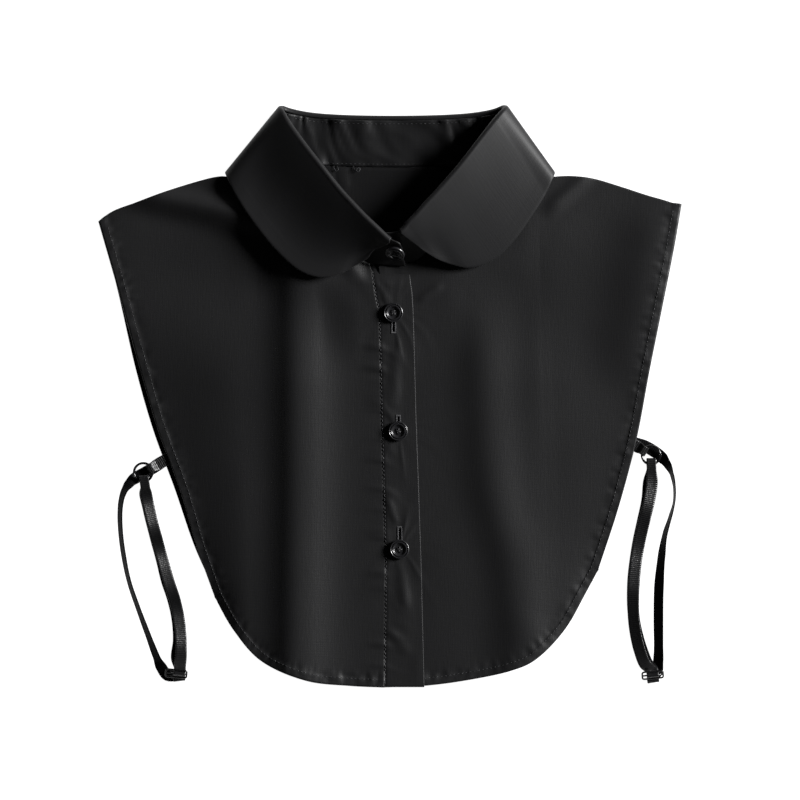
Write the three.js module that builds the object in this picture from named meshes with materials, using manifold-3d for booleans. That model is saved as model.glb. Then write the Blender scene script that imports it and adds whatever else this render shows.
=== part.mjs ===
// A detachable shirt collar on its back: a cloth bib, a folded collar, four buttons and two side straps.
// Millimetres, +Z up. The front faces up and the neck points to +Y, so the wearer's right is at minus X.
import * as THREE from "three";
import * as BufferGeometryUtils from "three/addons/utils/BufferGeometryUtils.js";
import Module from "manifold-3d";

const wasm = await Module();
wasm.setup();

// Driving dimensions
const CLOTH = 1.0;
const GAP = 0.3;
const SEAM_GAP = 1.1;
const BUTTON_DIAMETER = 12.8;
const BUTTON_HEIGHT = 2.6;
const BUTTON_WELL_DIAMETER = 7.0;
const BUTTON_HOLE_DIAMETER = 1.5;
const BUTTON_HOLE_RADIUS = 1.75;
const BUTTONHOLE_WIDTH = 2.2;
const THREAD_DIAMETER = 1.4;
const STRAP_WIDTH = 7.8;
const STRAP_THICKNESS = 0.8;
const RING_RADIUS = 6.0;
const RING_WIRE = 1.4;
const RING_HEIGHT = 3.25;
const SLIDER_LENGTH = 14.7;
const SLIDER_BAR_PITCH = 2.9;
const SLIDER_WIRE = 0.9;
const SLIDER_HEIGHT = 6.1;
const LAYER = STRAP_THICKNESS + 0.4;
const BAND_FOOT = 0.5;
const TURN_REACH = 4.8;
const TURN_LEAD = 1.5 * LAYER;
const STRAP_END_INSET = 0.2;
const RING_GATHER = 0.8;
const RING_BEND_INSET = 2.3;
const RING_NEAR = 0.6;
const RING_FAR = 3.4;
const TAB_WIDTH = 7.8;
const TAB_TAIL_THICKNESS = 0.9;
const TAB_TAIL_HEIGHT = 1.75;
const TAB_BEND_INSET = 1.25;
const TAB_OPENING = 0.3;
const TAB_NARROW = 0.8;
const TAB_CLOSED = 4.6;
const BUTTON_CLEARANCE = 0.5;
const BEND_STEPS = 3;

// Heights of the middle of the cloth above the surface that the collar lies on
const BACK_HEIGHT = 0.5;
const ARMHOLE_HEIGHT = 3.0;
const RIGHT_FRONT_HEIGHT = 7.6;
const LEFT_FRONT_HEIGHT = 6.4;
const PLACKET_HEIGHT = 7.8;
const SHOULDER_TIP_HEIGHT = 1.9;
const SHOULDER_NECK_HEIGHT = 4.5;
const SHOULDER_LAP = 0.9;
const FRONT_BELOW_SEAM = 0.3;
const BACK_BELOW_SEAM = 0.1;

// Stations round the collar, from the front end on the wearer's right to the other one, round the back.
// fold is the top of the stand, seam its foot, edge the leaf's free edge, and roll the room inside the fold.
const COLLAR_STATIONS = [
  { fold: [0.8, 101.4, 26.5], seam: [0.5, 85.2, 8.3], edge: [-13.8, 89.7, 17.0], roll: 3.0 },
  { fold: [-7.8, 108.9, 26.6], seam: [-13.7, 87.1, 8.1], edge: [-24.1, 83.5, 14.6], roll: 3.0 },
  { fold: [-15.9, 116.4, 26.3], seam: [-26.0, 95.6, 7.7], edge: [-33.8, 78.7, 14.8], roll: 3.0 },
  { fold: [-23.5, 124.3, 25.6], seam: [-35.0, 104.0, 7.2], edge: [-45.5, 77.0, 15.0], roll: 3.0 },
  { fold: [-31.2, 132.6, 24.6], seam: [-46.8, 115.7, 6.8], edge: [-58.5, 81.3, 15.0], roll: 3.0 },
  { fold: [-44.9, 149.5, 22.5], seam: [-61.1, 130.0, 6.4], edge: [-74.1, 94.9, 14.6], roll: 3.0 },
  { fold: [-57.2, 165.1, 19.6], seam: [-74.1, 146.9, 6.3], edge: [-88.4, 112.5, 14.2], roll: 3.0 },
  { fold: [-65.7, 176.8, 16.2], seam: [-83.2, 156.7, 6.3], edge: [-99.5, 129.4, 12.6], roll: 3.2 },
  { fold: [-69.4, 183.2, 13.8], seam: [-87.6, 160.2, 5.4], edge: [-105.6, 141.6, 9.2], roll: 2.6 },
  { fold: [-70.4, 185.0, 11.0], seam: [-88.4, 161.4, 4.5], edge: [-107.0, 144.9, 4.3], roll: 2.6 },
  { fold: [-69.2, 184.6, 8.8], seam: [-85.6, 159.4, 3.6], edge: [-106.2, 143.8, 1.4], roll: 4.6 },
  { fold: [-64.0, 183.0, 7.2], seam: [-77.5, 154.3, 3.0], edge: [-98.5, 135.0, 0.8], roll: 5.0 },
  { fold: [-52.0, 180.8, 6.2], seam: [-57.2, 151.2, 2.6], edge: [-78.0, 128.0, 0.6], roll: 4.9 },
  { fold: [-32.5, 179.4, 5.8], seam: [-35.0, 149.7, 2.5], edge: [-45.0, 124.5, 0.55], roll: 4.7 },
  { fold: [2.0, 178.8, 5.5], seam: [2.0, 149.1, 2.5], edge: [2.0, 123.0, 0.55], roll: 4.6 },
  { fold: [36.4, 179.4, 5.8], seam: [38.9, 149.7, 2.5], edge: [48.9, 124.5, 0.55], roll: 4.7 },
  { fold: [55.9, 180.8, 6.2], seam: [61.1, 151.2, 2.6], edge: [81.0, 128.0, 0.6], roll: 4.9 },
  { fold: [67.9, 183.0, 7.2], seam: [81.4, 154.3, 3.0], edge: [99.5, 135.0, 0.8], roll: 5.0 },
  { fold: [73.1, 185.0, 8.8], seam: [89.5, 159.4, 3.6], edge: [106.2, 143.8, 1.2], roll: 4.6 },
  { fold: [74.3, 185.4, 11.0], seam: [92.3, 161.4, 4.5], edge: [107.0, 144.9, 4.3], roll: 2.6 },
  { fold: [72.8, 183.6, 13.8], seam: [91.0, 160.2, 5.4], edge: [105.8, 141.6, 7.4], roll: 2.6 },
  { fold: [67.6, 177.6, 16.2], seam: [86.5, 156.7, 6.3], edge: [100.6, 130.5, 8.4], roll: 3.2 },
  { fold: [57.6, 165.1, 19.6], seam: [75.0, 146.9, 6.3], edge: [92.5, 117.5, 9.2], roll: 3.0 },
  { fold: [45.3, 149.5, 22.5], seam: [61.1, 130.0, 6.4], edge: [79.3, 99.5, 9.8], roll: 3.0 },
  { fold: [30.5, 132.6, 24.6], seam: [46.8, 115.7, 6.8], edge: [64.5, 86.8, 10.4], roll: 3.0 },
  { fold: [22.9, 124.6, 25.4], seam: [35.0, 104.0, 7.2], edge: [50.7, 83.2, 12.2], roll: 3.0 },
  { fold: [16.4, 117.4, 25.8], seam: [26.0, 95.8, 7.0], edge: [40.3, 85.2, 14.0], roll: 3.0 },
  { fold: [11.3, 112.4, 25.8], seam: [17.5, 88.6, 6.8], edge: [30.6, 88.7, 17.2], roll: 3.0 },
  { fold: [6.4, 107.0, 25.6], seam: [9.0, 87.0, 6.7], edge: [21.5, 94.4, 20.4], roll: 3.0 },
];
const SIDE_STATION = 9;
const LAST_STATION = COLLAR_STATIONS.length - 1;
const SECTIONS_PER_STATION = 2;

// The stand runs on past the leaf at both front ends, and the wearer's right end laps over the left one.
const OVER_END = [
  { fold: [7.6, 94.6, 20.5], seam: [9.8, 84.6, 8.8] },
  { fold: [6.4, 98.6, 25.6], seam: [7.0, 84.6, 8.4] },
];
const UNDER_END = [
  { fold: [-0.5, 105.6, 25.0], seam: [-1.5, 88.2, 6.7] },
  { fold: [-7.0, 105.2, 23.6], seam: [-8.0, 90.4, 6.7] },
];

// Plan outlines, from the shoulder tip down the armhole, then along the hem to the middle
const RIGHT_ARMHOLE = [
  [-189.2, 113.4], [-176.4, 68.9], [-162.0, 16.9], [-150.5, -22.1],
  [-136.2, -61.1], [-124.6, -100.1], [-113.8, -130.7],
];
const RIGHT_ARMHOLE_OF_BACK = [
  [-188.0, 112.6], [-176.8, 68.9], [-164.8, 16.9], [-153.6, -22.1],
  [-139.4, -61.1], [-126.6, -98.5], [-112.6, -129.5],
];
const LEFT_ARMHOLE = [
  [189.2, 124.6], [184.0, 94.9], [176.2, 55.9], [168.4, 16.9],
  [160.0, -28.0], [148.5, -72.0], [135.2, -113.1],
];
const LEFT_ARMHOLE_OF_BACK = [
  [187.6, 123.0], [182.6, 94.9], [175.0, 55.9], [167.4, 16.9],
  [159.4, -28.0], [147.0, -72.0], [134.2, -112.0],
];
const RIGHT_HEM = [
  [-113.8, -130.7], [-101.4, -152.1], [-83.9, -171.6], [-54.0, -184.6], [-26.0, -187.9], [-4.9, -188.9],
];
const LEFT_HEM = [
  [135.2, -113.1], [128.1, -126.1], [113.1, -152.1], [93.6, -171.6],
  [78.7, -178.1], [48.1, -184.6], [22.1, -187.9], [-3.0, -188.9],
];
const HEM_OF_BACK = [
  [-112.6, -129.5], [-100.2, -150.6], [-83.0, -169.6], [-53.5, -182.4], [-26.0, -185.7], [0.0, -187.0],
  [22.1, -185.7], [48.1, -182.4], [78.0, -176.0], [92.4, -169.6], [111.8, -150.6], [134.2, -112.0],
];
const RIGHT_SHOULDER = [
  [-189.2, 113.4], [-181.4, 119.2], [-163.8, 126.1], [-140.4, 134.6],
  [-117.0, 141.2], [-106.6, 139.8], [-98.4, 145.4],
];
const LEFT_SHOULDER = [
  [189.2, 124.6], [183.0, 125.5], [165.8, 130.7], [152.1, 135.2], [131.7, 141.2],
  [117.0, 141.8], [106.4, 139.2], [100.0, 144.8],
];

// The placket's two sides at heights down the front: seam is its stitched side, and fold its creased one.
const PLACKET_ROWS = [
  { y: 83.4, seam: -12.9, fold: 12.0 },
  { y: 66.3, seam: -10.4, fold: 14.3 },
  { y: 54.0, seam: -7.8, fold: 15.0 },
  { y: 33.0, seam: -7.2, fold: 15.6 },
  { y: -16.0, seam: -6.2, fold: 16.9 },
  { y: -60.0, seam: -4.9, fold: 18.5 },
  { y: -110.5, seam: -3.6, fold: 20.2 },
  { y: -188.7, seam: -4.4, fold: 22.1 },
];

// Long soft folds of the fronts: crest is the X of the crest at heights down the front.
const RIGHT_FOLD = { height: 4.6, inner: 34, outer: 26, crest: [[60, -58.5], [-60, -58.5], [-190, -60.0]] };
const LEFT_FOLD = {
  height: 3.4,
  inner: 26,
  outer: 30,
  crest: [[60, 61.0], [0, 61.8], [-60, 67.0], [-110, 80.0], [-190, 90.0]],
};
const FOLD_FADES = { start: 95, full: 20 };

// Front buttons: the button's height down the placket, and the two ends of its upright buttonhole
const FRONT_BUTTONS = [
  { name: "1", x: 2.2, y: 54.1, top: 57.2, foot: 40.6 },
  { name: "2", x: 5.3, y: -22.8, top: -12.2, foot: -28.0 },
  { name: "3", x: 6.2, y: -99.5, top: -84.6, foot: -103.0 },
];
// The stand's button: how far it sits along the stand from the over end, and up it from the seam
const COLLAR_BUTTON = { along: 0.048, up: 0.6, buttonhole: 14 };

// The side straps. Each outer strand leaves the side of the back, passes under the ring and runs down to
// the slider; lean is the angle in degrees by which it stands on its edge. The wide strand runs from the
// slider to the ring in two layers: lift raises both, shift is how far the lower one lies beside the upper.
const RIGHT_STRAP = {
  ring: { x: -160.3, y: -49.6 },
  tab: { turn: 29, reach: 21.5 },
  slider: { x: -138.8, y: -180.2, turn: -5, tilt: 32 },
  strand: { x: -137.4, turn: 86, crease: 6 },
  outer: [
    { x: -147.7, y: -42.5, lean: 0 },
    { x: -153.4, y: -46.4, lean: 0 },
    { x: -159.8, y: -50.2, lean: 0 },
    { x: -165.6, y: -53.4, lean: 10 },
    { x: -169.4, y: -57.0, lean: 40 },
    { x: -172.6, y: -61.6, lean: 58 },
    { x: -174.6, y: -68.0, lean: 64 },
    { x: -175.4, y: -77.0, lean: 67 },
    { x: -174.9, y: -89.0, lean: 68 },
    { x: -173.1, y: -103.0, lean: 68 },
    { x: -169.6, y: -120.0, lean: 70 },
    { x: -163.9, y: -137.0, lean: 68 },
    { x: -157.6, y: -154.0, lean: 63 },
    { x: -151.9, y: -169.0, lean: 54 },
    { x: -148.6, y: -176.2, lean: 26 },
    { x: -144.4, y: -181.4, lean: 0 },
  ],
  wide: [
    { x: -135.9, y: -170.0, shift: 2.6, lift: 0.8 },
    { x: -135.8, y: -158.6, shift: 1.6, lift: 0.1 },
    { x: -137.0, y: -145.6, shift: 1.1 },
    { x: -139.8, y: -132.6, shift: 1.0 },
    { x: -144.0, y: -119.6, shift: 1.1 },
    { x: -147.6, y: -106.6, shift: 0.8 },
    { x: -151.3, y: -93.6, shift: 0.5 },
    { x: -154.7, y: -80.6, shift: 0.6 },
    { x: -157.7, y: -67.6, shift: 0.7 },
  ],
};
const LEFT_STRAP = {
  ring: { x: 169.6, y: -38.4 },
  tab: { turn: 149, reach: 15 },
  slider: { x: 170.6, y: -181.2, turn: 5, tilt: 38 },
  strand: { x: 170.6, turn: 97, crease: 8 },
  outer: [
    { x: 159.5, y: -30.7, lean: 0 },
    { x: 165.4, y: -32.5, lean: 0 },
    { x: 171.4, y: -35.8, lean: 0 },
    { x: 176.6, y: -39.8, lean: 20 },
    { x: 180.3, y: -44.6, lean: 52 },
    { x: 183.2, y: -51.2, lean: 75 },
    { x: 184.8, y: -60.0, lean: 82 },
    { x: 184.5, y: -69.0, lean: 84 },
    { x: 181.9, y: -79.0, lean: 77 },
    { x: 178.6, y: -90.0, lean: 69 },
    { x: 176.3, y: -105.0, lean: 53 },
    { x: 174.7, y: -125.0, lean: 39 },
    { x: 174.4, y: -146.0, lean: 39 },
    { x: 174.5, y: -162.0, lean: 42 },
    { x: 174.3, y: -172.0, lean: 34 },
    { x: 173.4, y: -179.0, lean: 6 },
  ],
  wide: [
    { x: 165.6, y: -174.0, shift: -1.5, lift: 1.2 },
    { x: 162.4, y: -166.0, shift: -1.5, lift: 0.9 },
    { x: 160.0, y: -156.6, shift: -1.1 },
    { x: 158.5, y: -146.0, shift: -0.3 },
    { x: 158.0, y: -134.0, shift: 0.2 },
    { x: 158.6, y: -119.6, shift: 0.5 },
    { x: 160.0, y: -106.6, shift: 0.5 },
    { x: 162.3, y: -93.6, shift: 0.6 },
    { x: 165.3, y: -80.6, shift: 0.8 },
    { x: 168.5, y: -67.6, shift: 1.4 },
    { x: 170.1, y: -56.6, shift: 2.0 },
  ],
};

// Materials
const poplin = new THREE.MeshStandardMaterial({ color: 0x1b1b1d, roughness: 0.72, metalness: 0 });
const poplinInside = new THREE.MeshStandardMaterial({ color: 0x18181a, roughness: 0.78, metalness: 0 });
const fusedPoplin = new THREE.MeshStandardMaterial({ color: 0x202022, roughness: 0.68, metalness: 0 });
const buttonPlastic = new THREE.MeshStandardMaterial({ color: 0x121214, roughness: 0.25, metalness: 0 });
const sewingThread = new THREE.MeshStandardMaterial({ color: 0x151517, roughness: 0.8, metalness: 0 });
const elastic = new THREE.MeshStandardMaterial({ color: 0x19191b, roughness: 0.6, metalness: 0 });
const coatedWire = new THREE.MeshStandardMaterial({ color: 0x0e0e10, roughness: 0.22, metalness: 0.5 });

const collar = new THREE.Group();

function addPiece(name, geometry, material) {
  const mesh = new THREE.Mesh(geometry, material);
  mesh.name = name;
  collar.add(mesh);
  return mesh;
}

// Curves and blends
const vector = ([x, y, z = 0]) => new THREE.Vector3(x, y, z);
const throughPoints = (rows) => new THREE.CatmullRomCurve3(rows.map(vector), false, "centripetal");
const mix = THREE.MathUtils.lerp;

// Rises from 0 to 1 as the value goes from one end to the other, with soft ends, in either order
function smooth(from, to, value) {
  const share = THREE.MathUtils.clamp((value - from) / (to - from), 0, 1);
  return share * share * (3 - 2 * share);
}

// A value read off rows of [place, value], straight between the rows; the places may rise or fall.
function between(rows, place) {
  for (let i = 1; i < rows.length; i += 1) {
    const [a, b] = [rows[i - 1], rows[i]];
    if (i === rows.length - 1 || (place - a[0]) * (place - b[0]) <= 0) {
      return mix(a[1], b[1], THREE.MathUtils.clamp((place - a[0]) / (b[0] - a[0]), 0, 1));
    }
  }
  return rows[0][1];
}

// A closed sheet of even thickness on a grid of points of its middle surface
function sheetFromGrid(grid, columns, rows, thickness) {
  const at = (i, j) => grid[j * (columns + 1) + i];
  const clamped = (i, j) => at(THREE.MathUtils.clamp(i, 0, columns), THREE.MathUtils.clamp(j, 0, rows));
  const positions = [];
  for (const side of [0.5, -0.5]) {
    for (let j = 0; j <= rows; j += 1) {
      for (let i = 0; i <= columns; i += 1) {
        const along = clamped(i + 1, j).clone().sub(clamped(i - 1, j));
        const across = clamped(i, j + 1).clone().sub(clamped(i, j - 1));
        const normal = along.cross(across).normalize();
        positions.push(...at(i, j).clone().addScaledVector(normal, side * thickness));
      }
    }
  }
  const below = (columns + 1) * (rows + 1);
  const index = [];
  const quad = (a, b, c, d) => index.push(a, b, c, a, c, d);
  const id = (i, j) => j * (columns + 1) + i;
  for (let j = 0; j < rows; j += 1) {
    for (let i = 0; i < columns; i += 1) {
      const [a, b, c, d] = [id(i, j), id(i + 1, j), id(i + 1, j + 1), id(i, j + 1)];
      quad(a, b, c, d);
      quad(below + a, below + d, below + c, below + b);
    }
  }
  for (let i = 0; i < columns; i += 1) {
    quad(id(i, 0), below + id(i, 0), below + id(i + 1, 0), id(i + 1, 0));
    quad(id(i + 1, rows), below + id(i + 1, rows), below + id(i, rows), id(i, rows));
  }
  for (let j = 0; j < rows; j += 1) {
    quad(id(0, j + 1), below + id(0, j + 1), below + id(0, j), id(0, j));
    quad(id(columns, j), below + id(columns, j), below + id(columns, j + 1), id(columns, j + 1));
  }
  const geometry = new THREE.BufferGeometry();
  geometry.setAttribute("position", new THREE.Float32BufferAttribute(positions, 3));
  geometry.setIndex(index);
  return geometry;
}

function sheetFromSurface(surface, columns, rows, thickness) {
  const grid = [];
  for (let j = 0; j <= rows; j += 1) {
    for (let i = 0; i <= columns; i += 1) {
      grid.push(surface(i / columns, j / rows));
    }
  }
  return sheetFromGrid(grid, columns, rows, thickness);
}

// A round rod about the origin, along Y
const rod = (diameter, length) => new THREE.CylinderGeometry(diameter / 2, diameter / 2, length, 8);

// Solids for cutting
function solidOf(geometry) {
  const bare = geometry.clone();
  bare.deleteAttribute("normal");
  bare.deleteAttribute("uv");
  const merged = BufferGeometryUtils.mergeVertices(bare, 1e-4);
  return new wasm.Manifold(
    new wasm.Mesh({
      numProp: 3,
      vertProperties: new Float32Array(merged.attributes.position.array),
      triVerts: new Uint32Array(merged.index.array),
    }),
  );
}

function geometryOf(solid) {
  const mesh = solid.getMesh();
  const geometry = new THREE.BufferGeometry();
  geometry.setAttribute("position", new THREE.BufferAttribute(new Float32Array(mesh.vertProperties), 3));
  geometry.setIndex(new THREE.BufferAttribute(new Uint32Array(mesh.triVerts), 1));
  return geometry;
}

function cut(geometry, tools) {
  const solid = tools.reduce((rest, tool) => rest.subtract(solidOf(tool)), solidOf(geometry));
  return geometryOf(solid);
}

// Collar stand
const standStations = [...OVER_END, ...COLLAR_STATIONS, ...UNDER_END];
const standFold = throughPoints(standStations.map((row) => row.fold));
const standSeam = throughPoints(standStations.map((row) => row.seam));
const standAt = (u, v) => standSeam.getPoint(u).lerp(standFold.getPoint(u), v);

function standFrame(u, v) {
  const step = 1e-3;
  const along = standAt(Math.min(u + step, 1), v).sub(standAt(Math.max(u - step, 0), v)).normalize();
  const up = standAt(u, 1).sub(standAt(u, 0)).normalize();
  const outward = up.clone().cross(along).normalize();
  return { point: standAt(u, v), along, up, outward };
}

const stationOnStand = (station) => (station + OVER_END.length) / (standStations.length - 1);

// The leaf starts at the top of the stand, rolls outward over it and runs down to its free edge.
const leafEdge = throughPoints(COLLAR_STATIONS.map((row) => row.edge));
const rollAt = (station) => between(COLLAR_STATIONS.map((row, i) => [i, row.roll]), station);
const ROLL_SHARE = 0.3;
const ROLL_LIFT = 0.66;
const LEAF_SEAM_GAP = 0.65;

function leafAt(u, v) {
  const station = u * LAST_STATION;
  const frame = standFrame(stationOnStand(station), 1);
  const roll = rollAt(station);
  const start = frame.point.clone().addScaledVector(frame.up, LEAF_SEAM_GAP);
  const over = frame.point.clone().addScaledVector(frame.outward, roll);
  const edge = leafEdge.getPoint(u);
  if (v <= ROLL_SHARE) {
    const lift = roll * ROLL_LIFT;
    const bend = new THREE.CubicBezierCurve3(
      start,
      start.clone().addScaledVector(frame.up, lift),
      over.clone().addScaledVector(frame.up, lift),
      over,
    );
    return bend.getPoint(v / ROLL_SHARE);
  }
  return over.lerp(edge, (v - ROLL_SHARE) / (1 - ROLL_SHARE));
}

// Panels: a plan outline of four sides, blended inward, with a height for each place
function planPatch(foot, top, left, right) {
  const corners = [foot(0), foot(1), top(0), top(1)];
  return (u, v) => {
    const point = foot(u).multiplyScalar(1 - v).addScaledVector(top(u), v);
    point.addScaledVector(left(v), 1 - u).addScaledVector(right(v), u);
    const weights = [(1 - u) * (1 - v), u * (1 - v), (1 - u) * v, u * v];
    corners.forEach((corner, i) => point.addScaledVector(corner, -weights[i]));
    return point;
  };
}

// The neck edge of a panel follows the stand's seam a little way outside it.
function neckEdge(station) {
  const u = stationOnStand(station);
  const seam = standAt(u, 0);
  const away = seam.clone().sub(standAt(u, 1)).setZ(0).normalize();
  return seam.addScaledVector(away, SEAM_GAP);
}

// A top side made of the shoulder, tip first, and then the neck, between two stations of the collar
function shoulderAndNeck(shoulderRows, fromStation, toStation, share) {
  const shoulder = throughPoints([...shoulderRows, neckEdge(fromStation).setZ(0).toArray()]);
  return (u) => {
    if (u <= share) {
      return shoulder.getPointAt(u / share);
    }
    return neckEdge(mix(fromStation, toStation, (u - share) / (1 - share))).setZ(0);
  };
}

const SHOULDER_SHARE = 7 / 18;
const foldRise = (fold, x, y) => {
  const offset = x - between(fold.crest, y);
  const reach = Math.sign(offset) === Math.sign(fold.crest[0][1]) ? fold.outer : fold.inner;
  return Math.abs(offset) < reach ? fold.height * Math.cos((Math.PI / 2) * (offset / reach)) ** 2 : 0;
};

// The shoulder seam's height, from the tip to the neck; front and back lie a little above and below it
const SHOULDER_BLEND = { start: 0.25, end: 0.95 };
const shoulderHeight = (share) =>
  mix(SHOULDER_TIP_HEIGHT, SHOULDER_NECK_HEIGHT, smooth(SHOULDER_BLEND.start, SHOULDER_BLEND.end, share));

// Shares across and up a front where its armhole edge, its neck and its top blend into the rest
const ARMHOLE_BLEND = 0.32;
const NECK_BLEND = 0.15;
const TOP_BLEND = 0.62;

function frontHeight({ flat, fold, fromStation, toStation }, u, v, x, y) {
  const rise = foldRise(fold, x, y) * smooth(FOLD_FADES.start, FOLD_FADES.full, y);
  const body = mix(ARMHOLE_HEIGHT, flat + rise, smooth(0, ARMHOLE_BLEND, u));
  let top = shoulderHeight(Math.min(u / SHOULDER_SHARE, 1)) + SHOULDER_LAP;
  if (u > SHOULDER_SHARE) {
    const station = mix(fromStation, toStation, (u - SHOULDER_SHARE) / (1 - SHOULDER_SHARE));
    const seamHeight = standAt(stationOnStand(station), 0).z;
    top = mix(top, seamHeight - FRONT_BELOW_SEAM, smooth(SHOULDER_SHARE, SHOULDER_SHARE + NECK_BLEND, u));
  }
  return mix(body, top, smooth(TOP_BLEND, 1, v));
}

function frontPanel({ armhole, hem, shoulder, middle, ...heights }) {
  const sideCurve = throughPoints([...armhole].reverse());
  const hemCurve = throughPoints(hem);
  const topSide = shoulderAndNeck(shoulder, heights.fromStation, heights.toStation, SHOULDER_SHARE);
  const [foot, top] = [hem[hem.length - 1], topSide(1)];
  const middleSide = (v) => {
    const y = mix(foot[1], top.y, v);
    return new THREE.Vector3(v === 0 ? foot[0] : v === 1 ? top.x : middle(y), y, 0);
  };
  const plan = planPatch(
    (u) => hemCurve.getPointAt(u),
    topSide,
    (v) => sideCurve.getPointAt(v),
    middleSide,
  );
  return (u, v) => {
    const point = plan(u, v);
    return point.setZ(frontHeight(heights, u, v, point.x, point.y));
  };
}

const placketSeam = PLACKET_ROWS.map((row) => [row.y, row.seam]);
const placketFold = PLACKET_ROWS.map((row) => [row.y, row.fold]);
const UNDER_PLACKET = 5.4;
const PLACKET_GAP = 0.5;

const rightFront = frontPanel({
  armhole: RIGHT_ARMHOLE,
  hem: RIGHT_HEM,
  shoulder: RIGHT_SHOULDER,
  middle: (y) => between(placketSeam, y) - PLACKET_GAP,
  flat: RIGHT_FRONT_HEIGHT,
  fold: RIGHT_FOLD,
  fromStation: SIDE_STATION,
  toStation: 1,
});
const leftFront = frontPanel({
  armhole: LEFT_ARMHOLE,
  hem: LEFT_HEM,
  shoulder: LEFT_SHOULDER,
  middle: (y) => between(placketSeam, y) + UNDER_PLACKET,
  flat: LEFT_FRONT_HEIGHT,
  fold: LEFT_FOLD,
  fromStation: LAST_STATION - SIDE_STATION,
  toStation: LAST_STATION + 1.9,
});

// The back lies on the surface, and rises near the neck over the leaf that is folded under it.
const backHem = throughPoints(HEM_OF_BACK);
const backRightSide = throughPoints([...RIGHT_ARMHOLE_OF_BACK].reverse());
const backLeftSide = throughPoints([...LEFT_ARMHOLE_OF_BACK].reverse());
const BACK_SHOULDER_SHARE = 0.25;
const rightShoulderOfBack = throughPoints([
  RIGHT_ARMHOLE_OF_BACK[0], ...RIGHT_SHOULDER.slice(1), neckEdge(SIDE_STATION).setZ(0).toArray(),
]);
const leftShoulderOfBack = throughPoints([
  neckEdge(LAST_STATION - SIDE_STATION).setZ(0).toArray(),
  ...[...LEFT_SHOULDER].reverse().slice(0, -1),
  LEFT_ARMHOLE_OF_BACK[0],
]);

function backTop(u) {
  if (u <= BACK_SHOULDER_SHARE) {
    return rightShoulderOfBack.getPointAt(u / BACK_SHOULDER_SHARE);
  }
  if (u >= 1 - BACK_SHOULDER_SHARE) {
    return leftShoulderOfBack.getPointAt((u - 1 + BACK_SHOULDER_SHARE) / BACK_SHOULDER_SHARE);
  }
  const share = (u - BACK_SHOULDER_SHARE) / (1 - 2 * BACK_SHOULDER_SHARE);
  return neckEdge(mix(SIDE_STATION, LAST_STATION - SIDE_STATION, share)).setZ(0);
}

const backPlan = planPatch(
  (u) => backHem.getPointAt(u),
  backTop,
  (v) => backRightSide.getPointAt(v),
  (v) => backLeftSide.getPointAt(v),
);

// The back's rise over the leaf under it: edge is the Y of the leaf's free edge at the middle, sideRise how
// much further up it is at the X of side, start and full where the rise begins and ends below that edge, and
// outer and inner where it does so beside it.
const UNDER_LEAF = {
  edge: 122,
  sideRise: 14,
  side: 104,
  start: -44,
  full: -24,
  outer: 128,
  inner: 108,
  rise: 1.6,
};
const BACK_TOP_BLEND = 0.84;
const BACK_NECK_BLEND = 0.35;

function backAt(u, v) {
  const point = backPlan(u, v);
  const leafReach = UNDER_LEAF.edge + UNDER_LEAF.sideRise * (point.x / UNDER_LEAF.side) ** 2;
  const below = smooth(leafReach + UNDER_LEAF.start, leafReach + UNDER_LEAF.full, point.y);
  const overLeaf = below * smooth(UNDER_LEAF.outer, UNDER_LEAF.inner, Math.abs(point.x));
  const toMiddle = Math.min(u, 1 - u) / BACK_SHOULDER_SHARE;
  let top = shoulderHeight(Math.min(toMiddle, 1)) - SHOULDER_LAP;
  if (toMiddle > 1) {
    const share = (u - BACK_SHOULDER_SHARE) / (1 - 2 * BACK_SHOULDER_SHARE);
    const station = mix(SIDE_STATION, LAST_STATION - SIDE_STATION, share);
    const seamHeight = standAt(stationOnStand(station), 0).z;
    top = mix(top, seamHeight - BACK_BELOW_SEAM, smooth(1, 1 + BACK_NECK_BLEND, toMiddle));
  }
  return point.setZ(mix(BACK_HEIGHT + UNDER_LEAF.rise * overLeaf, top, smooth(BACK_TOP_BLEND, 1, v)));
}

// Placket
function placketAt(u, v) {
  const y = mix(PLACKET_ROWS[PLACKET_ROWS.length - 1].y, PLACKET_ROWS[0].y, v);
  const x = mix(between(placketSeam, y), between(placketFold, y), u);
  return new THREE.Vector3(x, y, PLACKET_HEIGHT);
}

function buttonholeTool(row) {
  const tool = new THREE.BoxGeometry(BUTTONHOLE_WIDTH, row.top - row.foot, 4 * CLOTH);
  return tool.translate(row.x, (row.top + row.foot) / 2, PLACKET_HEIGHT);
}

// Buttons: a raised outer rim, a groove, a raised inner rim and a well
const BUTTON_SECTION = [
  { radius: 0, height: 0 },
  { radius: 4.5, height: 0 },
  { radius: 5.9, height: 0.6 },
  { radius: BUTTON_DIAMETER / 2, height: 1.3 },
  { radius: 6.1, height: 2.2 },
  { radius: 5.75, height: 2.45 },
  { radius: 5.1, height: 1.95 },
  { radius: 4.4, height: BUTTON_HEIGHT },
  { radius: 3.9, height: 2.2 },
  { radius: BUTTON_WELL_DIAMETER / 2, height: 1.35 },
  { radius: 0, height: 1.3 },
];
const BUTTON_SEGMENTS = 24;

function buttonGeometry() {
  const outline = BUTTON_SECTION.map(({ radius, height }) => new THREE.Vector2(radius, height));
  const body = new THREE.LatheGeometry(outline, BUTTON_SEGMENTS).rotateX(Math.PI / 2);
  const holes = [45, 135, 225, 315].map((degrees) => {
    const angle = THREE.MathUtils.degToRad(degrees);
    const [x, y] = [BUTTON_HOLE_RADIUS * Math.cos(angle), BUTTON_HOLE_RADIUS * Math.sin(angle)];
    return rod(BUTTON_HOLE_DIAMETER, 4 * BUTTON_HEIGHT).rotateX(Math.PI / 2).translate(x, y, 0);
  });
  return cut(body, holes);
}

const threadGeometry = (length) => rod(THREAD_DIAMETER, length).rotateX(Math.PI / 2);

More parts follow.
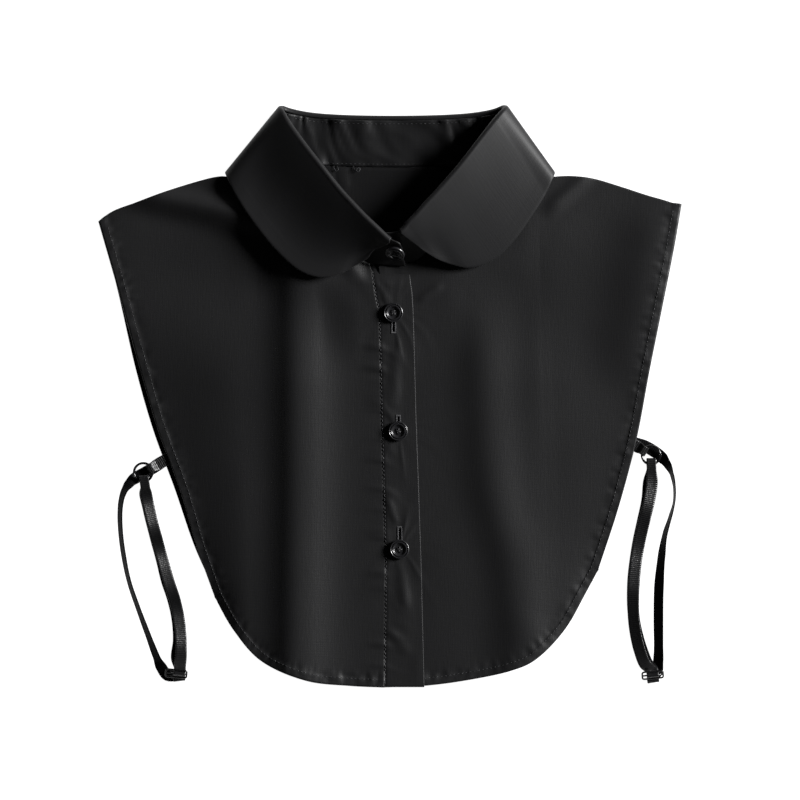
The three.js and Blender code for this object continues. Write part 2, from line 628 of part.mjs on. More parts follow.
// Straps: a flat band along points, each with a direction for the band's width, as long as its share of it
function bandAlong(points, acrosses, width, thickness) {
  const steps = 2 * (points.length - 1);
  const centre = new THREE.CatmullRomCurve3(points, false, "centripetal");
  const across = new THREE.CatmullRomCurve3(acrosses, false, "catmullrom", 0);
  const grid = [];
  for (const side of [-0.5, 0.5]) {
    for (let i = 0; i <= steps; i += 1) {
      const t = i / steps;
      const tangent = centre.getTangent(t);
      const wide = across.getPoint(t);
      const share = wide.length();
      wide.addScaledVector(tangent, -wide.dot(tangent)).setLength(side * width * share);
      grid.push(centre.getPoint(t).add(wide));
    }
  }
  return sheetFromGrid(grid, steps, 1, thickness);
}

const acrossAt = (degrees, lean = 0) => {
  const [turn, tilt] = [THREE.MathUtils.degToRad(degrees), THREE.MathUtils.degToRad(lean)];
  return new THREE.Vector3(Math.cos(turn) * Math.cos(tilt), Math.sin(turn) * Math.cos(tilt), Math.sin(tilt));
};
const headingFrom = (a, b) => THREE.MathUtils.radToDeg(Math.atan2(b.y - a.y, b.x - a.x));

// Places points round a bend of the band: a circle about a wire or a fold, seen from the band's edge
function bendPoints(place, [distance, height], radius, fromDegrees, toDegrees, across) {
  for (let i = 0; i <= BEND_STEPS; i += 1) {
    const angle = THREE.MathUtils.degToRad(mix(fromDegrees, toDegrees, i / BEND_STEPS));
    place(distance + radius * Math.cos(angle), height + radius * Math.sin(angle), across);
  }
}

// The strap in one piece: outer strand, turn, slider, wide strand, ring, and back to the slider's bar
function strapGeometry({ ring, slider, strand, outer, wide }) {
  const points = [];
  const acrosses = [];
  const add = (x, y, z, across) => {
    points.push(new THREE.Vector3(x, y, z));
    acrosses.push(across);
  };

  outer.forEach((row, i) => {
    const heading = headingFrom(outer[Math.max(i - 1, 0)], outer[Math.min(i + 1, outer.length - 1)]);
    const rise = (STRAP_WIDTH / 2) * Math.sin(THREE.MathUtils.degToRad(row.lean));
    add(row.x, row.y, BAND_FOOT + rise, acrossAt(heading + 90, row.lean));
  });

  const run = acrossAt(strand.turn);
  const side = acrossAt(strand.turn - 90);
  const alongRun = (distance, height, across) => {
    add(strand.x + run.x * distance, slider.y + run.y * distance, height, across);
  };
  const foot = {
    x: strand.x + run.x * (LAYER - TURN_REACH),
    y: slider.y + run.y * (LAYER - TURN_REACH),
  };
  const crease = acrossAt(strand.crease);
  const offCrease = (distance, height, across) => {
    add(foot.x - crease.y * distance, foot.y + crease.x * distance, height, across);
  };
  offCrease(TURN_LEAD, BAND_FOOT, crease);
  bendPoints(offCrease, [0, BAND_FOOT + LAYER], LAYER, -90, -270, crease);

  const reach = SLIDER_WIRE / 2 + GAP + STRAP_THICKNESS / 2;
  const slope = THREE.MathUtils.radToDeg(Math.asin((2 * reach) / SLIDER_BAR_PITCH));
  const tilt = THREE.MathUtils.degToRad(slider.tilt);
  const onSlider = (distance, height, across) => {
    const along = distance * Math.cos(tilt) - height * Math.sin(tilt);
    alongRun(along, SLIDER_HEIGHT + distance * Math.sin(tilt) + height * Math.cos(tilt), across);
  };
  bendPoints(onSlider, [-SLIDER_BAR_PITCH, 0], reach, -90, -90 + slope, side);
  bendPoints(onSlider, [0, 0], reach, 90 + slope, 90 - slope, side);
  bendPoints(onSlider, [SLIDER_BAR_PITCH, 0], reach, -90 - slope, -90, side);

  const sideAt = (i) => {
    const [before, after] = [wide[Math.max(i - 1, 0)], wide[Math.min(i + 1, wide.length - 1)]];
    return acrossAt(headingFrom(before, after) - 90);
  };
  wide.forEach((row, i) => add(row.x, row.y, BAND_FOOT + LAYER + (row.lift ?? 0), sideAt(i)));

  const nearest = wide[wide.length - 1];
  const toRing = new THREE.Vector3(ring.x - nearest.x, ring.y - nearest.y, 0).normalize();
  const ringSide = acrossAt(headingFrom(nearest, ring) - 90).multiplyScalar(RING_GATHER);
  const overWire = RING_WIRE / 2 + GAP + STRAP_THICKNESS / 2;
  const byRing = (distance, height, across) => {
    add(ring.x + toRing.x * distance, ring.y + toRing.y * distance, height, across);
  };
  byRing(-RING_RADIUS - RING_FAR, RING_HEIGHT + 0.7 * overWire, ringSide);
  byRing(-RING_RADIUS - RING_NEAR, RING_HEIGHT + overWire, ringSide);
  bendPoints(byRing, [-RING_RADIUS + RING_BEND_INSET, RING_HEIGHT], overWire, 90, -90, ringSide);
  byRing(-RING_RADIUS - RING_NEAR, RING_HEIGHT - overWire, ringSide);
  byRing(-RING_RADIUS - RING_FAR, RING_HEIGHT - 1.25 * overWire, ringSide);

  for (let i = wide.length - 1; i >= 0; i -= 1) {
    const offset = sideAt(i).multiplyScalar(-wide[i].shift);
    add(wide[i].x + offset.x, wide[i].y + offset.y, BAND_FOOT + (wide[i].lift ?? 0), sideAt(i));
  }
  onSlider(SLIDER_BAR_PITCH, -reach - LAYER, side);
  onSlider(STRAP_END_INSET, -reach, side);
  return bandAlong(points, acrosses, STRAP_WIDTH, STRAP_THICKNESS);
}

// A wire slider with a middle bar, made as one soldered piece
function sliderGeometry({ slider }) {
  const halfLength = (SLIDER_LENGTH - SLIDER_WIRE) / 2;
  const bar = (y) => rod(SLIDER_WIRE, 2 * halfLength).rotateZ(Math.PI / 2).translate(0, y, 0);
  const end = (x) => rod(SLIDER_WIRE, 2 * SLIDER_BAR_PITCH).translate(x, 0, 0);
  const corner = (x, y) => new THREE.SphereGeometry(0.52 * SLIDER_WIRE, 8, 6).translate(x, y, 0);
  const pieces = [bar(-SLIDER_BAR_PITCH), bar(0), bar(SLIDER_BAR_PITCH), end(-halfLength), end(halfLength)];
  for (const x of [-halfLength, halfLength]) {
    for (const y of [-SLIDER_BAR_PITCH, SLIDER_BAR_PITCH]) {
      pieces.push(corner(x, y));
    }
  }
  return geometryOf(pieces.map(solidOf).reduce((whole, piece) => whole.add(piece)));
}

// A tab of the same elastic, folded round the ring and tucked between the front and the back
function tabGeometry({ tab }) {
  const hole = RING_WIRE / 2 + GAP + 0.02;
  const outer = hole + STRAP_THICKNESS;
  const bend = RING_RADIUS - TAB_BEND_INSET;
  const closed = RING_RADIUS + TAB_CLOSED;
  const narrow = RING_RADIUS + TAB_NARROW;
  const tail = TAB_TAIL_HEIGHT - RING_HEIGHT;
  const half = TAB_TAIL_THICKNESS / 2;
  const outline = new THREE.Shape();
  outline.moveTo(tab.reach, tail - half);
  outline.lineTo(closed, tail - half);
  outline.lineTo(narrow, -outer);
  outline.lineTo(bend, -outer);
  outline.absarc(bend, 0, outer, -Math.PI / 2, Math.PI / 2, true);
  outline.lineTo(narrow, outer);
  outline.lineTo(closed, tail + half);
  outline.lineTo(tab.reach, tail + half);
  const opening = new THREE.Path();
  opening.moveTo(RING_RADIUS + TAB_OPENING, -hole);
  opening.absarc(RING_RADIUS + TAB_OPENING, 0, hole, -Math.PI / 2, Math.PI / 2, false);
  opening.lineTo(bend, hole);
  opening.absarc(bend, 0, hole, Math.PI / 2, -Math.PI / 2, false);
  outline.holes.push(opening);
  const settings = { depth: TAB_WIDTH, bevelEnabled: false, curveSegments: 6 };
  const geometry = new THREE.ExtrudeGeometry(outline, settings).translate(0, 0, -TAB_WIDTH / 2);
  const places = geometry.attributes.position;
  for (let i = 0; i < places.count; i += 1) {
    const share = mix(RING_GATHER, 1, smooth(narrow, closed, places.getX(i)));
    places.setZ(i, places.getZ(i) * share);
  }
  return geometry.rotateX(Math.PI / 2);
}

// Assembly
addPiece("back_panel", sheetFromSurface(backAt, 28, 14, CLOTH), poplinInside);
addPiece("front_panel_right", sheetFromSurface(rightFront, 18, 14, CLOTH), poplin);
addPiece("front_panel_left", sheetFromSurface(leftFront, 18, 14, CLOTH), poplin);
addPiece(
  "placket",
  cut(sheetFromSurface(placketAt, 4, 14, CLOTH), FRONT_BUTTONS.map(buttonholeTool)),
  poplin,
);

const buttonSeat = standFrame(COLLAR_BUTTON.along, COLLAR_BUTTON.up);
const seatTurn = new THREE.Matrix4().makeBasis(
  buttonSeat.along.clone().negate(),
  buttonSeat.outward.clone().cross(buttonSeat.along.clone().negate()),
  buttonSeat.outward,
);

// Places a geometry on the stand's button seat, with its own Z pointing out of the stand.
function onSeat(geometry, outward) {
  const centre = buttonSeat.point.clone().addScaledVector(buttonSeat.outward, outward);
  return geometry.applyMatrix4(seatTurn).translate(centre.x, centre.y, centre.z);
}

const slot = new THREE.BoxGeometry(COLLAR_BUTTON.buttonhole, BUTTONHOLE_WIDTH, 4 * CLOTH);
const standSections = SECTIONS_PER_STATION * (standStations.length - 1);
const band = sheetFromSurface(standAt, standSections, 3, CLOTH);
addPiece("collar_stand", cut(band, [onSeat(slot, 0)]), fusedPoplin);
const leafSections = SECTIONS_PER_STATION * LAST_STATION;
addPiece("collar_leaf", sheetFromSurface(leafAt, leafSections, 9, CLOTH), fusedPoplin);

const buttonLift = CLOTH / 2 + BUTTON_CLEARANCE;
const frontThread = PLACKET_HEIGHT + buttonLift - GAP - (LEFT_FRONT_HEIGHT + CLOTH / 2 + GAP);
for (const { name, x, y } of FRONT_BUTTONS) {
  addPiece(`button_${name}`, buttonGeometry(), buttonPlastic).position.set(x, y, PLACKET_HEIGHT + buttonLift);
  const thread = addPiece(`button_thread_${name}`, threadGeometry(frontThread), sewingThread);
  thread.position.set(x, y, PLACKET_HEIGHT + buttonLift - GAP - frontThread / 2);
}

// The under end lies behind the button: how deep it is below the over end, along the button's thread
function depthOfUnderEnd() {
  let best = { miss: Infinity, depth: 0 };
  for (let u = stationOnStand(LAST_STATION - 1); u <= 1; u += 0.001) {
    for (let v = 0; v <= 1; v += 0.02) {
      const toPoint = standAt(u, v).sub(buttonSeat.point);
      const depth = -toPoint.dot(buttonSeat.outward);
      const miss = toPoint.addScaledVector(buttonSeat.outward, depth).length();
      if (miss < best.miss) {
        best = { miss, depth };
      }
    }
  }
  return best.depth;
}

const threadFoot = depthOfUnderEnd() - CLOTH / 2 - 2 * GAP;
const collarThread = threadFoot + buttonLift - GAP;
addPiece("collar_button", onSeat(buttonGeometry(), buttonLift), buttonPlastic);
const threadMiddle = buttonLift - GAP - collarThread / 2;
addPiece("collar_button_thread", onSeat(threadGeometry(collarThread), threadMiddle), sewingThread);

for (const [side, strap] of [["right", RIGHT_STRAP], ["left", LEFT_STRAP]]) {
  const wire = new THREE.TorusGeometry(RING_RADIUS, RING_WIRE / 2, 8, 24);
  const ring = addPiece(`strap_ring_${side}`, wire, coatedWire);
  ring.position.set(strap.ring.x, strap.ring.y, RING_HEIGHT);
  const tab = addPiece(`ring_tab_${side}`, tabGeometry(strap), elastic);
  tab.position.copy(ring.position);
  tab.rotation.z = THREE.MathUtils.degToRad(strap.tab.turn);
  addPiece(`elastic_strap_${side}`, strapGeometry(strap), elastic);
  const slider = addPiece(`strap_slider_${side}`, sliderGeometry(strap), coatedWire);
  slider.position.set(strap.slider.x, strap.slider.y, SLIDER_HEIGHT);
  const { tilt, turn } = strap.slider;
  slider.rotation.set(THREE.MathUtils.degToRad(tilt), 0, THREE.MathUtils.degToRad(turn), "ZYX");
}

export default collar;
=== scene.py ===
"""A detachable shirt collar of black cotton poplin, lying on its back.

A cloth bib, a folded collar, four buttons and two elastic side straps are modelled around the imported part.
Shape tables and sizes are in millimetres, +Z up, in the part's own frame: the front faces up, the neck points
to +Y and the wearer's right is at minus X. Each mesh is turned into metres as it is made.
"""

from __future__ import annotations

import logging
import math
from abc import ABC, abstractmethod
from dataclasses import dataclass, field
from enum import Enum
from typing import Sequence

import bmesh
import bpy
import numpy as np
from mathutils import Matrix, Vector
from mathutils.bvhtree import BVHTree

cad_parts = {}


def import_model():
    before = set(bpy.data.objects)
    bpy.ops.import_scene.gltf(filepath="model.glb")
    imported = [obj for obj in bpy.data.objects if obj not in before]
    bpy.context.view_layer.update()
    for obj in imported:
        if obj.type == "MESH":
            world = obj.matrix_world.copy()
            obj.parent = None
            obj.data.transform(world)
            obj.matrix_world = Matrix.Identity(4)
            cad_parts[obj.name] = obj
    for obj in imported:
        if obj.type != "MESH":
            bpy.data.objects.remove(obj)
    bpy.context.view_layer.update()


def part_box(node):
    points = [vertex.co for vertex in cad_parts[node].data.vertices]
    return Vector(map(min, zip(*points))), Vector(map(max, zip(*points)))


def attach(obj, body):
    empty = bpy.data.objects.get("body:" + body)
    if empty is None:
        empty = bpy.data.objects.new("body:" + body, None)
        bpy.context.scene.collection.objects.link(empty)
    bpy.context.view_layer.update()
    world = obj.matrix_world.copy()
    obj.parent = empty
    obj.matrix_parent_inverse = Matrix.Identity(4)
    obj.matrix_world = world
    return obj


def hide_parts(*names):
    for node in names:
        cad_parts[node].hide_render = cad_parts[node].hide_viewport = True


LOG = logging.getLogger("collar")
MM = 0.001
BODY = "root"

Array = np.ndarray
Piece = bpy.types.Object
Point = tuple[float, ...]
Rows = Sequence[Point]
StitchRow = tuple[Array, Array, Array]

# Cloth, as worn: one layer of the bib, a turned hem, and the two fused layers of the collar
BIB_CLOTH = 0.6
HEM_CLOTH = 1.15
HEM_WIDTH = 5.0
COLLAR_CLOTH = 1.0
COLLAR_TURNING = 1.08
STAND_WIDTH = 30.0
LEAF_WIDTH = 44.0
WING_WIDTH = 38.0

# Where the pieces meet: gaps and laps at the seams, and the shares of a panel's top that are shoulder
LEAF_SEAM_GAP = 0.65
ROLL_SHARE = 0.3
NECK_GAP = 0.9
SHOULDER_LAP = 0.35
FRONT_BELOW_SEAM = 0.35
BACK_BELOW_SEAM = 0.1
FRONT_CLEARANCE = 1.2
SHOULDER_SHARE = 7 / 18
BACK_SHOULDER_SHARE = 0.25

# Heights of the middle of the cloth above the surface that the collar lies on
BACK_HEIGHT = 0.5
ARMHOLE_HEIGHT = 3.0
SHOULDER_TIP_HEIGHT = 1.9
SHOULDER_NECK_HEIGHT = 4.5
PLACKET_HEIGHT = 7.8
BACK_RISE_OVER_LEAF = 1.6
FRONT_RISE_OVER_LEAF = 1.7

# The stretch of leaf folded under the back panel: its edge's Y in the middle, the edge's bow at a half width,
# and the distances over which the panels rise before the edge and at the two ends
UNDER_LEAF_Y = 122.0
UNDER_LEAF_BOW = 14.0
UNDER_LEAF_HALF = 104.0
UNDER_LEAF_LEAD = (-44.0, -24.0)
UNDER_LEAF_ENDS = (128.0, 108.0)

# Sewing
STITCH_PITCH = 2.7
STITCH_LENGTH = 1.9
THREAD_WIDTH = 0.42
HEM_THREAD_WIDTH = 0.34
HEM_STITCH_SETBACK = 0.3
PLACKET_STITCH_SETBACK = 1.2
PULL_SEED = 155

# The rings of one stitch: share of its length from its middle, then rise and thickness in threads
STITCH_RINGS = (
    (-0.5, -0.3, 0.5), (-0.38, 0.12, 0.95), (0.0, 0.3, 1.0), (0.38, 0.12, 0.95), (0.5, -0.3, 0.5),
)
STITCH_SIDES = 6

# The map of a piece's cloth: millimetres in one unit, and how far a band's face lies from its back in it
CLOTH_UNIT = 100.0
FACE_OFFSET = 100.0

# Bands that a wave texture draws in one unit at scale 1
WAVE_BANDS = 3.18


class Side(Enum):
    """The wearer's right or left, with the sign of X there."""

    RIGHT = -1
    LEFT = 1

    @property
    def word(self) -> str:
        """The side's name in lower case, as node names use it."""
        return self.name.lower()


@dataclass(frozen=True)
class Station:
    """One cross-section of the collar: the stand's top and foot, the leaf's free edge and the roll's size."""

    fold: Point
    seam: Point
    edge: Point = ()
    roll: float = 0.0


STATIONS = (
    Station((0.8, 101.4, 26.5), (0.5, 85.2, 8.3), (-13.8, 89.7, 17.0), 3.0),
    Station((-7.8, 108.9, 26.6), (-13.7, 87.1, 8.1), (-24.1, 83.5, 14.6), 3.0),
    Station((-15.9, 116.4, 26.3), (-26.0, 95.6, 7.7), (-33.8, 78.7, 14.8), 3.0),
    Station((-23.5, 124.3, 25.6), (-35.0, 104.0, 7.2), (-45.5, 77.0, 15.0), 3.0),
    Station((-31.2, 132.6, 24.6), (-46.8, 115.7, 6.8), (-58.5, 81.3, 15.0), 3.0),
    Station((-44.9, 149.5, 22.5), (-61.1, 130.0, 6.4), (-74.1, 94.9, 14.6), 3.0),
    Station((-57.2, 165.1, 19.6), (-74.1, 146.9, 6.3), (-88.4, 112.5, 14.2), 3.0),
    Station((-65.7, 176.8, 16.2), (-83.2, 156.7, 6.3), (-99.5, 129.4, 12.6), 3.2),
    Station((-69.4, 183.2, 13.8), (-87.6, 160.2, 5.4), (-105.6, 141.6, 9.2), 2.6),
    Station((-70.4, 185.0, 11.0), (-88.4, 161.4, 4.5), (-107.0, 144.9, 4.3), 2.6),
    Station((-69.2, 184.6, 8.8), (-85.6, 159.4, 3.6), (-106.2, 143.8, 1.4), 4.6),
    Station((-64.0, 183.0, 7.2), (-77.5, 154.3, 3.0), (-98.5, 135.0, 0.8), 5.0),
    Station((-52.0, 180.8, 6.2), (-57.2, 151.2, 2.6), (-78.0, 128.0, 0.6), 4.9),
    Station((-32.5, 179.4, 5.8), (-35.0, 149.7, 2.5), (-45.0, 124.5, 0.55), 4.7),
    Station((2.0, 178.8, 5.5), (2.0, 149.1, 2.5), (2.0, 123.0, 0.55), 4.6),
    Station((36.4, 179.4, 5.8), (38.9, 149.7, 2.5), (48.9, 124.5, 0.55), 4.7),
    Station((55.9, 180.8, 6.2), (61.1, 151.2, 2.6), (81.0, 128.0, 0.6), 4.9),
    Station((67.9, 183.0, 7.2), (81.4, 154.3, 3.0), (99.5, 135.0, 0.8), 5.0),
    Station((73.1, 185.0, 8.8), (89.5, 159.4, 3.6), (106.2, 143.8, 1.2), 4.6),
    Station((74.3, 185.4, 11.0), (92.3, 161.4, 4.5), (107.0, 144.9, 4.3), 2.6),
    Station((72.8, 183.6, 13.8), (91.0, 160.2, 5.4), (105.8, 141.6, 7.4), 2.6),
    Station((67.6, 177.6, 16.2), (86.5, 156.7, 6.3), (100.6, 130.5, 8.4), 3.2),
    Station((57.6, 165.1, 19.6), (75.0, 146.9, 6.3), (92.5, 117.5, 9.2), 3.0),
    Station((45.3, 149.5, 22.5), (61.1, 130.0, 6.4), (79.3, 99.5, 9.8), 3.0),
    Station((30.5, 132.6, 24.6), (46.8, 115.7, 6.8), (64.5, 86.8, 10.4), 3.0),
    Station((22.9, 124.6, 25.4), (35.0, 104.0, 7.2), (50.7, 83.2, 12.2), 3.0),
    Station((16.4, 117.4, 25.8), (26.0, 95.8, 7.0), (40.3, 85.2, 14.0), 3.0),
    Station((11.3, 112.4, 25.8), (17.5, 88.6, 6.8), (30.6, 88.7, 17.2), 3.0),
    Station((6.4, 107.0, 25.6), (9.0, 87.0, 6.7), (21.5, 94.4, 20.4), 3.0),
)
SIDE_STATION = 9
LAST_STATION = len(STATIONS) - 1
OVER_END = (
    Station((7.6, 94.6, 20.5), (9.8, 84.6, 8.8)),
    Station((6.4, 98.6, 25.6), (7.0, 84.6, 8.4)),
)
UNDER_END = (
    Station((-0.5, 105.6, 25.0), (-1.5, 88.2, 6.7)),
    Station((-7.0, 105.2, 23.6), (-8.0, 90.4, 6.7)),
)

# Plan outlines, from the shoulder tip down the armhole, then along the hem to the middle
RIGHT_ARMHOLE = (
    (-189.2, 113.4), (-176.4, 68.9), (-162.0, 16.9), (-150.5, -22.1), (-136.2, -61.1), (-124.6, -100.1),
    (-113.8, -130.7),
)
RIGHT_ARMHOLE_OF_BACK = (
    (-188.0, 112.6), (-176.8, 68.9), (-164.8, 16.9), (-153.6, -22.1), (-139.4, -61.1), (-126.6, -98.5),
    (-112.6, -129.5),
)
LEFT_ARMHOLE = (
    (189.2, 124.6), (184.0, 94.9), (176.2, 55.9), (168.4, 16.9), (160.0, -28.0), (148.5, -72.0),
    (135.2, -113.1),
)
LEFT_ARMHOLE_OF_BACK = (
    (187.6, 123.0), (182.6, 94.9), (175.0, 55.9), (167.4, 16.9), (159.4, -28.0), (147.0, -72.0),
    (134.2, -112.0),
)
RIGHT_HEM = (
    (-113.8, -130.7), (-101.4, -152.1), (-83.9, -171.6), (-54.0, -184.6), (-26.0, -187.9), (-4.9, -188.9),
)
LEFT_HEM = (
    (135.2, -113.1), (128.1, -126.1), (113.1, -152.1), (93.6, -171.6), (78.7, -178.1), (48.1, -184.6),
    (22.1, -187.9), (-3.0, -188.9),
)
HEM_OF_BACK = (
    (-112.6, -129.5), (-100.2, -150.6), (-83.0, -169.6), (-53.5, -182.4), (-26.0, -185.7), (0.0, -187.0),
    (22.1, -185.7), (48.1, -182.4), (78.0, -176.0), (92.4, -169.6), (111.8, -150.6), (134.2, -112.0),
)
RIGHT_SHOULDER = (
    (-189.2, 113.4), (-181.4, 119.2), (-163.8, 126.1), (-140.4, 134.6), (-117.0, 141.4), (-109.6, 142.6),
    (-104.6, 142.6), (-98.4, 146.0),
)
LEFT_SHOULDER = (
    (189.2, 124.6), (183.0, 125.5), (165.8, 130.7), (152.1, 135.2), (131.7, 141.2), (118.0, 142.8),
    (109.6, 142.6), (104.4, 142.4), (99.6, 145.6),
)

# The placket's two sides at heights down the front: (Y, X of the stitched side, X of the creased side)
PLACKET_ROWS = (
    (87.2, -13.4, 11.4), (66.3, -10.4, 14.3), (54.0, -7.8, 15.0), (33.0, -7.2, 15.6), (-16.0, -6.2, 16.9),
    (-60.0, -4.9, 18.5), (-110.5, -3.6, 20.2), (-188.7, -4.4, 22.1),
)


@dataclass(frozen=True)
class ButtonPlace:
    """A front button and its upright buttonhole: plan place, and the Y of the hole's two ends."""

    number: int
    x: float
    y: float
    top: float
    foot: float


BUTTON_PLACES = (
    ButtonPlace(1, 2.2, 54.1, 57.2, 40.6),
    ButtonPlace(2, 5.3, -22.8, -12.2, -28.0),
    ButtonPlace(3, 6.2, -99.5, -84.6, -103.0),
)


def smooth(start: float, end: float, value: Array) -> Array:
    """Rises softly from 0 to 1 as a value goes from start to end.

    Args:
        start: Value at which the result is 0; it may be above end.
        end: Value at which the result is 1.
        value: Number or array of numbers.

    Returns:
        The share from 0 to 1, in the shape of value.
    """
    share = np.clip((value - start) / (end - start), 0.0, 1.0)
    return share * share * (3.0 - 2.0 * share)


def mix(a: Array, b: Array, share: Array) -> Array:
    """Blends from a to b."""
    return a + (b - a) * share


def soft_maximum(value: Array, floor: Array | float, softness: float) -> Array:
    """The larger of a value and its floor, with a rounded change from one to the other.

    Args:
        value: Heights to hold up.
        floor: The least that they may be.
        softness: The square of the length over which the change is rounded.

    Returns:
        Heights a little above both where the two meet.
    """
    above = value - floor
    return floor + 0.5 * (above + np.sqrt(above**2 + softness))


def unit(vectors: Array) -> Array:
    """Scales vectors, held in the last axis, to length 1."""
    return vectors / np.maximum(np.linalg.norm(vectors, axis=-1, keepdims=True), 1e-9)


def lengths_along(line: Array) -> Array:
    """The length from a line's start to each of its points."""
    return np.concatenate([[0.0], np.cumsum(np.linalg.norm(np.diff(line, axis=0), axis=1))])


def direction(degrees: float, lean: float = 0.0) -> Array:
    """The direction at an angle from +X in plan, leaning upwards by another angle in degrees."""
    turn, tilt = math.radians(degrees), math.radians(lean)
    return np.array([math.cos(turn) * math.cos(tilt), math.sin(turn) * math.cos(tilt), math.sin(tilt)])


def stitched_side(y: Array) -> Array:
    """The X of the placket's stitched side at heights down the front."""
    return placket_side(y, 1)


def placket_side(y: Array, side: int) -> Array:
    """The X of one side of the placket, by its column in the table, at heights down the front."""
    table = np.array(sorted((row[0], row[side]) for row in PLACKET_ROWS))
    return np.interp(y, table[:, 0], table[:, 1])


def soft_noise(seed: int, x: Array, y: Array) -> Array:
    """Smooth noise between -1 and 1 with one hump or hollow for each unit of x and y.

    Args:
        seed: Number that fixes the pattern.
        x: Places along the first direction, in cells.
        y: Places along the second direction, in cells.

    Returns:
        The noise at each place.
    """
    size = 64
    table = np.random.default_rng(seed).uniform(-1.0, 1.0, (size, size))
    x, y = np.broadcast_arrays(np.asarray(x, float), np.asarray(y, float))
    i, j = np.floor(x).astype(int), np.floor(y).astype(int)
    a, b = smooth(0.0, 1.0, x - i), smooth(0.0, 1.0, y - j)
    corners = [table[(i + di) % size, (j + dj) % size] for dj in (0, 1) for di in (0, 1)]
    return mix(mix(corners[0], corners[1], a), mix(corners[2], corners[3], a), b)


class Route:
    """A smooth line through given points, spaced as a centripetal spline."""

    def __init__(self, rows: Rows) -> None:
        """Prepares the spline.

        Args:
            rows: Points of two or three numbers; a missing height is 0.
        """
        points = np.array([tuple(row) + (0.0,) * (3 - len(row)) for row in rows], float)
        ends = 2 * points[0] - points[1], 2 * points[-1] - points[-2]
        full = np.vstack([ends[0], points, ends[1]])
        gaps = np.linalg.norm(np.diff(full, axis=0), axis=1)[:, None] ** 0.5
        before, here, after = gaps[:-2], gaps[1:-1], gaps[2:]
        p0, p1, p2, p3 = full[:-3], full[1:-2], full[2:-1], full[3:]
        leave = (p1 - p0) / before - (p2 - p0) / (before + here) + (p2 - p1) / here
        arrive = (p2 - p1) / here - (p3 - p1) / (here + after) + (p3 - p2) / after
        leave, arrive = leave * here, arrive * here
        self.parts = np.stack([p1, leave, 3 * (p2 - p1) - 2 * leave - arrive, 2 * (p1 - p2) + leave + arrive])
        self.count = len(points)
        self.shares = np.linspace(0.0, 1.0, 40 * self.count)
        self.lengths = lengths_along(self.at(self.shares))

    @property
    def length(self) -> float:
        """The line's whole length."""
        return float(self.lengths[-1])

    def at(self, share: Array) -> Array:
        """Points at shares of the way, an equal share for each stretch between two of the points.

        Args:
            share: Shares from 0 to 1.

        Returns:
            The point at each.
        """
        place = np.clip(np.asarray(share, float), 0.0, 1.0) * (self.count - 1)
        i = np.clip(np.floor(place).astype(int), 0, self.count - 2)
        w = (place - i)[..., None]
        c0, c1, c2, c3 = (part[i] for part in self.parts)
        return c0 + w * (c1 + w * (c2 + w * c3))

    def at_length(self, share: Array) -> Array:
        """Points at shares of the length."""
        return self.at(np.interp(np.asarray(share) * self.length, self.lengths, self.shares))


@dataclass(frozen=True)
class Frame:
    """A place on the stand with its own directions."""

    point: Array
    along: Array
    up: Array
    outward: Array


class CollarShape:
    """The lines that the stand, the leaf and the neck edges of the panels share."""

    def __init__(self) -> None:
        """Reads the stations into lines."""
        stand = [*OVER_END, *STATIONS, *UNDER_END]
        self.intervals = len(stand) - 1
        self.fold = Route([row.fold for row in stand])
        self.seam = Route([row.seam for row in stand])
        self.edge = Route([row.edge for row in STATIONS])

    def on_stand(self, station: Array) -> Array:
        """The share along the stand of a station of the leaf."""
        return (np.asarray(station, float) + len(OVER_END)) / self.intervals

    def stand(self, u: Array, v: Array) -> Array:
        """Points of the stand's middle surface: u along it, v from its foot to its top."""
        return mix(self.seam.at(u), self.fold.at(u), np.asarray(v, float)[..., None])

    def frame(self, u: Array, v: Array) -> Frame:
        """Places on the stand with the directions along it, up it and out of it.

        Args:
            u: Shares along the stand.
            v: Shares from its foot to its top.

        Returns:
            The places and directions.
        """
        step = 1e-3
        u = np.asarray(u, float)
        along = unit(self.stand(np.minimum(u + step, 1), v) - self.stand(np.maximum(u - step, 0), v))
        up = unit(self.stand(u, np.ones_like(u)) - self.stand(u, np.zeros_like(u)))
        return Frame(self.stand(u, v), along, up, unit(np.cross(up, along)))

    def neck_edge(self, station: Array) -> Array:
        """The neck edge of a panel, a little outside the foot of the stand.

        Args:
            station: Stations of the collar.

        Returns:
            The edge's point at each.
        """
        u = self.on_stand(station)
        seam, fold = self.seam.at(u), self.fold.at(u)
        away = seam - fold
        away[..., 2] = 0.0
        return seam + NECK_GAP * unit(away)

    def leaf(self, u: Array, v: Array) -> Array:
        """Points of the leaf's middle surface: over the roll at the stand's top, then down to the free edge.

        Args:
            u: Shares along the leaf, one for each column.
            v: Shares from the seam to the free edge, one for each row.

        Returns:
            Points in rows and columns.
        """
        station = u * LAST_STATION
        frame = self.frame(self.on_stand(station), np.ones_like(u))
        roll = np.interp(station, np.arange(len(STATIONS)), [row.roll for row in STATIONS])[:, None]
        start = frame.point + frame.up * LEAF_SEAM_GAP
        over = frame.point + frame.outward * roll
        lift = frame.up * roll * 0.66
        edge = self.edge.at(u)
        rows = []
        for share in v:
            if share <= ROLL_SHARE:
                t = share / ROLL_SHARE
                rows.append(
                    (1 - t) ** 3 * start + 3 * t * (1 - t) ** 2 * (start + lift)
                    + 3 * t * t * (1 - t) * (over + lift) + t**3 * over
                )
            else:
                rows.append(mix(over, edge, (share - ROLL_SHARE) / (1 - ROLL_SHARE)))
        return np.stack(rows)


SHAPE = CollarShape()


